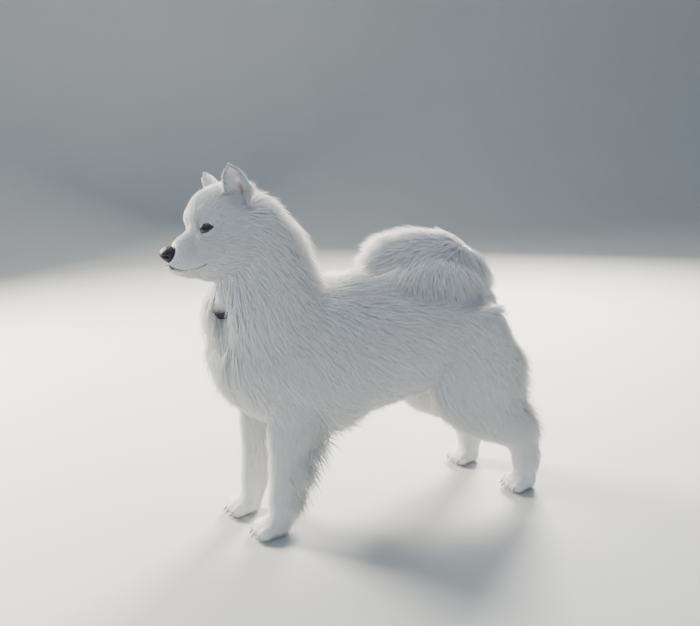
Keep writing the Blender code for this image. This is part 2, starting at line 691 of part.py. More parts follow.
def build_head():
    """The head's core with lids, mouth, lips and nostrils, and the parts set in it."""
    head = new_object("head_core", skull())
    skin = surface(head)
    added, removed, parts = [], [], {}
    for name, mirror in (("left", 1), ("right", -1)):
        out, along, across = eye_axes(mirror)
        centre = eye_centre(skin, mirror)
        rim = almond(1.0, out, along, across, centre, EYE_RADIUS + LID_DOME[0])
        added.append(ring_tube(rim, LID_RADIUS, 5))
        dome = Matrix((out, along, across)).transposed()
        added.append(ball(centre, [EYE_RADIUS + size for size in LID_DOME], 12, 6, dome))
        inner = almond(OPENING_SHARE, out, along, across, centre, EYE_RADIUS)
        removed.append(prism([p - out * 0.003 for p in inner], out * 0.020))
        removed.append(ball(centre, [EYE_RADIUS + GAP] * 3, 16, 10))
        parts[f"eye_{name}"] = new_object(f"eye_{name}", ball(centre, [EYE_RADIUS] * 3, 16, 10))
        path = mouth_path(skin, mirror)
        radii = [MOUTH_RADIUS * (1 - 0.6 * (i / (len(path) - 1)) ** 2) for i in range(len(path))]
        removed.append(tube([near + normal * 0.0002 for near, normal in path], radii, 5))
        lip = [near - normal * 0.0012 - UPWARD * LIP_DROP for near, normal in path[1:-1]]
        added.append(tube(lip, [LIP_RADIUS * (0.6 + 0.4 * math.sin(math.pi * (i + 1) / (len(lip) + 1)))
                                for i in range(len(lip))], 5))
        parts[f"ear_{name}"] = new_object(f"ear_{name}", ear(mirror))
    combine(head, [new_object("added", bm) for bm in added], "UNION")
    cut(head, removed)
    cut(head, [nose(GAP)])
    parts["nose"] = new_object("nose", nose())
    slots = []
    for mirror in (1, -1):
        turn = Matrix.Rotation(math.radians(-28) * mirror, 3, "Z")
        slots.append(ball(mirrored(NOSTRIL, mirror), NOSTRIL_SIZE, 10, 6, turn))
    cut(parts["nose"], slots)
    for obj in (head, *parts.values()):
        obj.data.transform(head_matrix())
    return head, parts


def collar_axes():
    """The ring's middle, its direction to the nape, and its axis."""
    along = (COLLAR_NAPE - COLLAR_THROAT).normalized()
    return (COLLAR_THROAT + COLLAR_NAPE) / 2, along, along.cross(ACROSS).normalized()


def collar(body, grow=0.0):
    """A flat strap round the neck, laid on the body's surface."""
    centre, along, axis = collar_axes()
    bm = bmesh.new()
    rows = []
    reach = [body.ray_cast(centre + d * 0.3, -d)[0] for d in
             (along * math.cos(math.tau * i / COLLAR_AROUND)
              + ACROSS * math.sin(math.tau * i / COLLAR_AROUND) for i in range(COLLAR_AROUND))]
    radii = [(point - centre).length + COLLAR_LIFT for point in reach]
    radii = [(radii[i - 1] + radii[i] * 2 + radii[(i + 1) % COLLAR_AROUND]) / 4
             for i in range(COLLAR_AROUND)]
    wide = COLLAR_WIDTH / 2 + grow
    for i, radius in enumerate(radii):
        angle = math.tau * i / COLLAR_AROUND
        d = along * math.cos(angle) + ACROSS * math.sin(angle)
        inner = centre + d * (radius - grow)
        outer = centre + d * (radius + COLLAR_THICKNESS + grow)
        rows.append([bm.verts.new(p) for p in
                     (inner - axis * wide, inner + axis * wide, outer + axis * wide, outer - axis * wide)])
    for i in range(COLLAR_AROUND):
        first, second = rows[i], rows[(i + 1) % COLLAR_AROUND]
        for j in range(4):
            k = (j + 1) % 4
            bm.faces.new((first[j], first[k], second[k], second[j]))
    bmesh.ops.recalc_face_normals(bm, faces=bm.faces)
    return bm


def coat_at(point):
    """The lie, depth, length and width of the coat at a place, from the nearest rows."""
    mirror = -1 if point.y < 0 else 1
    place = Vector((point.x, abs(point.y), point.z))
    total, lie, sizes = 0.0, Vector(), [0.0, 0.0, 0.0]
    for where, direction, *row in COAT:
        weight = 1 / ((place - Vector(where)).length_squared + 2e-5) ** 2
        total += weight
        lie += Vector((direction[0], direction[1] * mirror, direction[2])) * weight
        sizes = [size + value * weight for size, value in zip(sizes, row)]
    return lie.normalized(), [size / total for size in sizes]


def near_surface(tree, point, up):
    """The nearest place on the body and a direction off it that turns smoothly over its edges."""
    above = point + up * FEEL_HEIGHT
    near = tree.find_nearest(above)[0]
    return near, (above - near).normalized()


def lock(tree, root, normal, lie, sizes, cling, rng):
    """The rings of a flat tapered lock along the lie, from under the core out to its tip."""
    depth, length, width = sizes
    rings, headings = [], []
    point, up = root.copy(), normal.copy()
    heading = (lie - up * lie.dot(up)).normalized()
    bend = rng.uniform(-LOCK_BEND, LOCK_BEND)
    walked = 0.0
    for share, half, thick in LOCK_SHAPE:
        while walked < share - 1e-6:
            step = min(0.10, share - walked)
            walked += step
            heading = (Matrix.Rotation(bend * step, 3, up) @ heading
                       + lie * (1 - cling) * step * 2).normalized()
            point += heading * length * step
            near, away = near_surface(tree, point, up)
            point = point.lerp(near, cling)
            up = up.lerp(away, cling * 0.6 + 0.1).normalized()
            heading = (heading - up * heading.dot(up) * cling).normalized()
        height = -LOCK_SINK + (depth + LOCK_SINK) * share ** 0.85
        stray = Vector((rng.uniform(-1, 1), rng.uniform(-1, 1), rng.uniform(-1, 1))) * LOCK_STRAY
        centre = point + up * height + stray
        side = up.cross(heading).normalized() * width * half
        over = heading.cross(side).normalized() * -1
        if over.dot(up) < 0:
            over = -over
        headings.append(heading.copy())
        rings.append([centre + side, centre + over * thick, centre - side] if half else [centre])
    for first, second, ahead in zip(rings, rings[1:], headings):
        pairs = zip(first, second * (len(first) // len(second)))
        if any((after - before).dot(ahead) < LEAST_ADVANCE for before, after in pairs):
            return None
    return rings


def lock_mesh(points):
    """A closed bmesh through a lock's rings and its tip."""
    bm = bmesh.new()
    rings = [[bm.verts.new(point) for point in ring] for ring in points]
    for first, second in zip(rings, rings[1:]):
        for j in range(3):
            k = (j + 1) % 3
            if len(second) == 1:
                bm.faces.new((first[j], first[k], second[0]))
            else:
                bm.faces.new((first[j], first[k], second[k], second[j]))
    bm.faces.new(rings[0])
    bmesh.ops.recalc_face_normals(bm, faces=bm.faces)
    bmesh.ops.triangulate(bm, faces=bm.faces)
    return bm


def crosses_itself(bm):
    """True where two faces that share no corner meet."""
    bm.faces.ensure_lookup_table()
    tree = BVHTree.FromBMesh(bm)
    return any(a < b and not set(bm.faces[a].verts) & set(bm.faces[b].verts)
               for a, b in tree.overlap(tree))


def grow_coat(body):
    """Locks set evenly over the core wherever the coat is long."""
    tree = surface(body)
    low = Vector([min(vert.co[i] for vert in body.data.vertices) - ROOT_REACH for i in range(3)])
    high = Vector([max(vert.co[i] for vert in body.data.vertices) + ROOT_REACH for i in range(3)])
    roots, locks = [], []
    for index in range(ROOT_TRIES):
        rng = random.Random(COAT_SEED + index)
        place = Vector([rng.uniform(low[i], high[i]) for i in range(3)])
        root, away, _, distance = tree.find_nearest(place)
        if not LEAST_REACH < distance < ROOT_REACH or (place - root).dot(away) < 0:
            continue
        lie, sizes = coat_at(root)
        if sizes[0] < SHORTEST_COAT or near_collar(root):
            continue
        on_tail = is_tail(root)
        normal = (place - root).normalized()
        if on_tail:
            lie, sizes = plume(root, normal)
        room = sizes[2] * (PLUME_ROOM if on_tail else ROOM)
        if any((root - other).length < (room + size) / 2 for other, size in roots):
            continue
        sizes = [sizes[0] * rng.uniform(0.85, 1.12), sizes[1] * rng.uniform(0.85, 1.15),
                 sizes[2] * rng.uniform(0.88, 1.1)]
        hanging = sizes[0] > 0.034 or on_tail
        points = lock(tree, root, normal, lie, sizes, 0.25 if hanging else 0.7, rng)
        if points:
            grown = lock_mesh(points)
            if crosses_itself(grown):
                grown.free()
                continue
            roots.append((root, room))
            locks.append(grown)
    return locks


def is_tail(point):
    return point.z > 0.497 + max(0.0, 0.47 - point.x) * 0.1 and point.x > 0.20


def plume(root, normal):
    """The lie of the tail's hair: along the tail towards its tip and fanned out from it."""
    rows = smooth_rows(TAIL, 4)
    near = min(range(len(rows)), key=lambda i: (Vector(rows[i][:3]) - root).length)
    ahead, here = rows[min(near + 6, len(rows) - 1)], rows[min(near + 2, len(rows) - 2)]
    along = (Vector(ahead[:3]) - Vector(here[:3])).normalized()
    rise, length, width = PLUME
    down = Vector((0, 0, -0.5 * abs(normal.y)))
    lie = (along + normal * 0.20 + down).normalized()
    flat = 1 - 0.8 * max(0.0, -normal.z)
    return lie, [rise * flat, length, width]


def near_collar(root):
    """The coat parts over the strap at the throat."""
    centre, _, axis = collar_axes()
    above = (root - centre).dot(axis)
    return root.x < -0.060 and root.y < -0.015 and -0.004 < above < 0.030 and root.y > -0.075


def slab(start, end, half_width, middle_y=0.0):
    """A thin cutter whose edge runs from start to end (x, z) and which spans the body across."""
    first, last = Vector((start[0], 0, start[1])), Vector((end[0], 0, end[1]))
    along = (last - first).normalized()
    centre = (first + last) / 2 + Vector((0, middle_y, 0))
    return box(centre, (along, ACROSS, along.cross(ACROSS)),
               ((last - first).length / 2, half_width, GAP / 2))


def wedge(outline, half):
    """A thin upright prism in the middle plane."""
    return loft([[Vector((x, -half, z)) for x, z in outline], [Vector((x, half, z)) for x, z in outline]])


def loose_parts(obj):
    """The separate closed surfaces of a mesh, each as its own bmesh with its bounds and volume."""
    bm = bmesh.new()
    bm.from_mesh(obj.data)
    seen = set()
    parts = []
    bm.verts.ensure_lookup_table()
    for seed in bm.verts:
        if seed.index in seen:
            continue
        stack, island = [seed], []
        seen.add(seed.index)
        while stack:
            vert = stack.pop()
            island.append(vert.index)
            for edge in vert.link_edges:
                other = edge.other_vert(vert)
                if other.index not in seen:
                    seen.add(other.index)
                    stack.append(other)
        parts.append(set(island))
    made = []
    for island in parts:
        piece = bm.copy()
        piece.verts.ensure_lookup_table()
        drop = [vert for vert in piece.verts if vert.index not in island]
        bmesh.ops.delete(piece, geom=drop, context="VERTS")
        made.append(piece)
    bm.free()
    return made


def inside(bm, point):
    """True where a ray from the point crosses the surface an odd number of times."""
    tree = BVHTree.FromBMesh(bm)
    ray = Vector((0.31, 0.83, 0.46)).normalized()
    crossings = 0
    hit = tree.ray_cast(point, ray)[0]
    while hit:
        crossings += 1
        hit = tree.ray_cast(hit + ray * 1e-5, ray)[0]
    return crossings % 2 == 1


# Where each sub-part of the body is found once it has been parted
SEEDS = {
    "head": (-0.060, 0.0, 0.620),
    "neck": (0.000, 0.0, 0.545),
    "torso": (0.200, 0.0, 0.380),
    "tail": (0.395, 0.026, 0.556),
    "foreleg_left": (0.020, -0.060, 0.140),
    "foreleg_right": (-0.010, 0.058, 0.140),
    "hindleg_left": (0.545, -0.084, 0.145),
    "hindleg_right": (0.500, 0.090, 0.145),
}


def part_body(body):
    """Cuts the body through and keeps the largest piece at each seed."""
    cut(body, [
        slab((-0.150, 0.470), (0.080, 0.735), 0.20),
        slab((-0.170, 0.372), (0.160, 0.562), 0.25),
        slab((0.185, 0.5185), (0.4605, 0.5185), 0.20),
        slab((0.4600, 0.5190), (0.600, 0.4250), 0.20),
        slab((-0.150, 0.200), (0.180, 0.200), 0.20),
        slab((0.330, 0.2050), (0.760, 0.470), 0.25),
        wedge([(0.320, 0.100), (0.320, 0.2000), (0.760, 0.4715), (0.760, 0.100)], GAP / 2),
    ])
    pieces = [(piece.calc_volume(), piece) for piece in loose_parts(body)]
    bpy.data.objects.remove(body)
    pieces.sort(key=lambda pair: -pair[0])
    found = {}
    for _, piece in pieces:
        for name, seed in SEEDS.items():
            if name not in found and inside(piece, Vector(seed)):
                kept = piece.copy()
                tidy(kept)
                found[name] = new_object(name, kept)
                break
        piece.free()
    return found


def main():
    clear_scene()
    fur = material("coat", (0.82, 0.83, 0.82), 0.9)
    dark = material("eye", (0.02, 0.015, 0.012), 0.1)
    horn = material("nose", (0.02, 0.018, 0.02), 0.45)
    strap = material("collar", (0.05, 0.04, 0.07), 0.7)
    head, parts = build_head()
    bms = [trunk(), loft(limb_rings(NECK, 0, 0, NECK_AROUND)), tail_core()]
    for side in SIDES:
        bms += fore_leg(side) + hind_leg(side)
    body = joined("body", bms)
    ring = surface(body)
    combine(body, [head], "UNION")
    locks = grow_coat(body)
    print("locks", len(locks))
    combine(body, [new_object("lock", bm) for bm in locks], "UNION")
    floor = box(Vector((0.25, 0, -0.05)), (Vector((1, 0, 0)), ACROSS, UPWARD), (0.6, 0.4, 0.05))
    cut(body, [collar(ring, GAP), floor, *ear_rooms()])
    parts["collar"] = new_object("collar", collar(ring))
    parts.update(part_body(body))
    for name, obj in parts.items():
        obj.data.transform(Matrix.Translation(-MIDDLE))
        obj.data.materials.clear()
        finish = fur
        if name.startswith("eye"):
            finish = dark
        if name == "nose":
            finish = horn
        if name == "collar":
            finish = strap
        obj.data.materials.append(finish)


main()
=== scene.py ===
"""A life-size standing samoyed, dressed: one skin under a coat of fine solid tufts.

The dog faces -X, its left side is -Y and the floor is z = 0. Sizes are in metres. The skin repeats
the solids' sections, lies inside them where the coat is short, and carries the lie of the hair.
"""

import math
from types import SimpleNamespace

import bmesh
import bpy
import numpy as np
from mathutils import Matrix, Vector
from mathutils.bvhtree import BVHTree


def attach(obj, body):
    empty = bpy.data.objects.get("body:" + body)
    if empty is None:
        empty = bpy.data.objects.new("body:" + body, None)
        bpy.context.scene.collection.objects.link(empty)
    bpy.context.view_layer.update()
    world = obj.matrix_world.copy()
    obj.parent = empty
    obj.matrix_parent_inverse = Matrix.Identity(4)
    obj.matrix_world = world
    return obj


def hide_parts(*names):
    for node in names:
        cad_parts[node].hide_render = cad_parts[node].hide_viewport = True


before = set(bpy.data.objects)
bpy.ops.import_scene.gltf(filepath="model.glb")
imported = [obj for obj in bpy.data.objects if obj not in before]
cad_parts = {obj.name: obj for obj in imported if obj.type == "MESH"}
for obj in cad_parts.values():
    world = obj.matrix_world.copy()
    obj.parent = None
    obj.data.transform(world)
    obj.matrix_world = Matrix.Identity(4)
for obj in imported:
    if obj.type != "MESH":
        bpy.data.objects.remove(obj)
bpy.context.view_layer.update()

bl_info = {
    "name": "Standing samoyed",
    "version": (1, 0, 0),
    "blender": (4, 5, 0),
    "location": "View3D > Sidebar > Samoyed",
    "description": "Skin, coat, face, claws, collar and studio of a life-size samoyed",
    "category": "Object",
}

# The middle of the whole on the floor, in the frame that the sizes below are given in
MIDDLE = Vector((0.21535, -0.00023, 0.0))
SIDES = {"left": -1, "right": 1}
ACROSS = Vector((0, 1, 0))
UPWARD = Vector((0, 0, 1))

FORE_PAW = {"left": (0.000, 0.060), "right": (-0.030, 0.058)}
HIND_PAW = {"left": (0.000, 0.086), "right": (-0.045, 0.092)}

# Trunk sections: x, top, bottom, half width, squareness
TRUNK = [
    (-0.080, 0.412, 0.358, 0.026, 2.0),
    (-0.070, 0.446, 0.318, 0.056, 2.0),
    (-0.040, 0.486, 0.264, 0.088, 2.1),
    (0.020, 0.506, 0.236, 0.108, 2.2),
    (0.080, 0.512, 0.226, 0.116, 2.2),
    (0.150, 0.503, 0.228, 0.119, 2.2),
    (0.220, 0.497, 0.238, 0.119, 2.2),
    (0.290, 0.495, 0.250, 0.115, 2.2),
    (0.360, 0.495, 0.268, 0.107, 2.2),
    (0.420, 0.492, 0.290, 0.101, 2.2),
    (0.468, 0.480, 0.316, 0.084, 2.1),
    (0.502, 0.455, 0.345, 0.058, 2.0),
    (0.518, 0.428, 0.378, 0.028, 2.0),
]
# Neck sections square to its axis: x, z, half depth to the throat, half depth to the nape, half width
NECK = [
    (-0.030, 0.665, 0.048, 0.058, 0.060),
    (-0.020, 0.620, 0.060, 0.076, 0.074),
    (-0.010, 0.570, 0.070, 0.086, 0.084),
    (0.002, 0.518, 0.088, 0.094, 0.094),
    (0.016, 0.468, 0.098, 0.100, 0.102),
    (0.030, 0.420, 0.090, 0.090, 0.098),
]
# What fills the hollow between the crown and the nape: its middle and its half sizes
NAPE = ((-0.004, 0.000, 0.650), (0.034, 0.052, 0.034))
# Legs: x, z, half depth to the front, half depth to the back, half width
FORE_LEG = [
    (0.050, 0.330, 0.050, 0.060, 0.036),
    (0.044, 0.280, 0.048, 0.058, 0.042),
    (0.036, 0.235, 0.042, 0.048, 0.040),
    (0.026, 0.190, 0.035, 0.038, 0.035),
    (0.019, 0.140, 0.029, 0.031, 0.031),
    (0.014, 0.095, 0.027, 0.027, 0.030),
    (0.008, 0.055, 0.026, 0.026, 0.030),
    (0.002, 0.030, 0.022, 0.022, 0.026),
]
HIND_LEG = [
    (0.438, 0.440, 0.066, 0.062, 0.046),
    (0.440, 0.375, 0.088, 0.080, 0.060),
    (0.442, 0.315, 0.098, 0.090, 0.062),
    (0.450, 0.262, 0.096, 0.092, 0.054),
    (0.472, 0.215, 0.078, 0.078, 0.045),
    (0.508, 0.178, 0.054, 0.057, 0.037),
    (0.544, 0.145, 0.037, 0.043, 0.032),
    (0.567, 0.108, 0.031, 0.033, 0.029),
    (0.577, 0.065, 0.030, 0.031, 0.029),
    (0.575, 0.032, 0.024, 0.024, 0.026),
]
THIGH_TUCK = 0.020
PAW_LENGTH = 0.084
PAW_WIDTH = 0.064
PAW_HEIGHT = 0.046
# The pad: its half sizes, how high its middle is, and how far it lies ahead of the heel
PAD_SIZES = (PAW_LENGTH * 0.40, PAW_WIDTH * 0.46, PAW_HEIGHT * 0.52)
PAD_HEIGHT = PAW_HEIGHT * 0.42
PAD_AHEAD = 0.020
# The toes: half sizes, how far the inner ones reach ahead and what the outer ones lack, how they
# spread over the paw's width, and their height
TOES = 4
TOE_SIZES = (0.0195, 0.0105, 0.0175)
TOE_REACH = 0.050
TOE_ARC = 0.030
TOE_SPREAD = 0.74
TOE_HEIGHT = 0.0165
# Claws: where they leave the toe, how they run and hook down, and their thickness
CLAW_START = Vector((-0.012, 0, 0.0005))
CLAW_RUN = Vector((-0.0095, 0, -0.0030))
CLAW_HOOK = Vector((0, 0, -0.0065))
CLAW_RADIUS = 0.0032
CLAW_TAPER = 0.66
# Where the heels stand before the shift of each paw
FORE_HEEL = 0.012
HIND_HEEL = 0.590
# Tail: the middle line of its core and its radius, out of the croup and forward over the back
TAIL = [
    (0.455, 0.000, 0.440, 0.026),
    (0.484, 0.004, 0.484, 0.029),
    (0.480, 0.010, 0.522, 0.030),
    (0.444, 0.016, 0.543, 0.029),
    (0.385, 0.020, 0.550, 0.028),
    (0.325, 0.024, 0.549, 0.025),
    (0.278, 0.026, 0.541, 0.018),
]
# How much wider than high the tail is along the back
TAIL_SPREAD = 1.45
# Where the hair turns at the tail's rear end and grows denser
TAIL_WHORL = (0.462, -0.010, 0.570)
# What fills the hollows between the tail and the back, and between the tail and the rump
TAIL_BED = ((0.385, 0.004, 0.508), (0.108, 0.066, 0.044))
RUMP_BED = ((0.498, 0.004, 0.442), (0.036, 0.050, 0.036))

# Head frame: where the point between the eyes is, and how the head is turned and lowered
HEAD_CENTRE = Vector((-0.085, 0.0, 0.636))
HEAD_TURN = math.radians(8)
HEAD_NOD = math.radians(6)
HEAD_ROLL = math.radians(4)
# Head sections: forward, top, widest height, bottom, half width, squareness above and below
HEAD = [
    (-0.092, 0.026, -0.020, -0.058, 0.030, 2.0, 2.0),
    (-0.076, 0.053, -0.026, -0.082, 0.056, 2.0, 2.0),
    (-0.052, 0.069, -0.034, -0.098, 0.073, 2.0, 2.0),
    (-0.026, 0.074, -0.040, -0.105, 0.080, 1.9, 2.0),
    (-0.002, 0.069, -0.044, -0.107, 0.077, 1.8, 2.0),
    (0.016, 0.060, -0.046, -0.106, 0.067, 1.75, 2.1),
    (0.030, 0.048, -0.048, -0.102, 0.056, 1.75, 2.1),
    (0.040, 0.031, -0.050, -0.098, 0.048, 1.7, 2.2),
    (0.0445, 0.010, -0.051, -0.095, 0.043, 1.75, 2.2),
    (0.052, -0.004, -0.052, -0.092, 0.0385, 1.9, 2.3),
    (0.066, -0.011, -0.051, -0.088, 0.0325, 2.2, 2.4),
    (0.077, -0.018, -0.051, -0.082, 0.0280, 2.2, 2.4),
    (0.086, -0.025, -0.052, -0.076, 0.0225, 2.1, 2.2),
    (0.093, -0.036, -0.054, -0.070, 0.0160, 2.0, 2.0),
    (0.096, -0.045, -0.055, -0.063, 0.0080, 2.0, 2.0),
]
# Swellings and hollows of the head, for one side: place, reach and push in the head's frame
HEAD_SHAPING = [
    ((0.036, 0.024, -0.004), 0.014, (-0.005, -0.004, 0.000)),
    ((0.030, 0.027, 0.024), 0.016, (0.004, 0.003, 0.001)),
    ((0.044, 0.000, 0.010), 0.012, (-0.003, 0.000, -0.001)),
    ((0.000, 0.070, -0.040), 0.032, (0.000, 0.004, -0.002)),
    ((0.078, 0.028, -0.052), 0.016, (0.000, 0.003, 0.000)),
    ((0.062, 0.036, -0.088), 0.018, (0.000, -0.006, 0.002)),
]
EYE_AIM = Vector((0.0145, 0.0385, -0.0010))
EYE_RADIUS = 0.0122
EYE_TURN = math.radians(46)
EYE_TILT = math.radians(8)
EYE_STAND = 0.0030
LID_HALF_LENGTH = 0.0116
LID_HALF_HEIGHT = 0.0055
LID_CURVE = 1.55
# The skin round the eye: how far it lies off the ball, its swelling at the rim, the crease behind
# it, and how far it is sunk behind the ball's surface in the opening
LID_THICKNESS = 0.0012
LID_SWELL = 0.0010
LID_CREASE = 0.0008
LID_SINK = 0.0040
CORNEA_RISE = 0.0011
# The dark rim of the lids: how far it stands off the ball, half width, what that gains above and
# below the eye, and half depth
RIM_STAND = 0.0006
RIM_WIDTH = 0.0013
RIM_SWELL = 0.0005
RIM_DEPTH = 0.0011
NOSE_CENTRE = (0.0875, 0.0, -0.0360)
NOSE_SIZE = (0.0160, 0.0185, 0.0140)
NOSE_GROWTH = (0.0022, 0.0012, 0.0034)
# The leather below its middle: how much narrower it gets and how far it falls back; and what it
# loses in height above
NOSE_TAPER = 0.42
NOSE_SLANT = 0.003
NOSE_FLATNESS = 0.15
# The nostril, the slit that runs out of it, and the wing that stands over both
NOSTRIL = (0.1012, 0.0088, -0.0375)
NOSTRIL_SLIT = (-0.0060, 0.0060, -0.0028)
NOSTRIL_DEPTH = 0.0062
NOSTRIL_WIDTH = 0.0024
WING_ABOVE = (0.0048, 0.0044)
WING_RISE = 0.0010
WING_WIDTH = 0.0028
# The line down the middle of the leather
SPLIT_WIDTH = 0.0009
SPLIT_DEPTH = 0.0012
# The line of the closed mouth: forward, out from the middle, up
MOUTH = [
    (0.0970, 0.0000, -0.0540),
    (0.0950, 0.0110, -0.0580),
    (0.0890, 0.0220, -0.0660),
    (0.0760, 0.0290, -0.0715),
    (0.0620, 0.0330, -0.0730),
    (0.0470, 0.0400, -0.0700),
    (0.0320, 0.0470, -0.0620),
    (0.0200, 0.0530, -0.0590),
]
# The share of that line, from the front, that shows
MOUTH_SHOWN = 0.85
# The groove of the mouth, the swelling of the lips beside it, and the dark lips that lie in it
MOUTH_DEPTH = 0.0026
MOUTH_WIDTH = 0.0020
LIP_SWELL = 0.0012
LIP_PLACE = 0.0055
LIP_WIDTH = 0.0028
LIP_SINK = 0.0019
LIP_RADIUS = 0.0021
WHISKER_ROWS = 4
WHISKERS_IN_ROW = 5
# The foremost root of the top row; the steps back along a row, and back and down from row to row
WHISKER_FIRST = (0.0835, 0.050, -0.043)
WHISKER_STEP = 0.0064
WHISKER_ROW = (0.0012, 0.0056)
WHISKER_RADIUS = 0.00024
WHISKER_BEND = (-0.30, -0.10, -0.22)
EAR_BASE = Vector((-0.055, 0.057, 0.019))
EAR_TIPS = {1: Vector((-0.036, 0.063, 0.114)), -1: Vector((-0.028, 0.070, 0.104))}
EAR_HALF_WIDTH = 0.032
EAR_CUP = 0.020
EAR_THICKNESS = 0.0036
EAR_FACING = math.radians(50)
EAR_SINK = 0.26
EAR_TRIM = 0.955
EAR_TURN_IN = 0.62

# The collar's ring: its plane runs from the throat up to the nape
COLLAR_THROAT = Vector((-0.100, 0.0, 0.462))
COLLAR_NAPE = Vector((0.110, 0.0, 0.560))

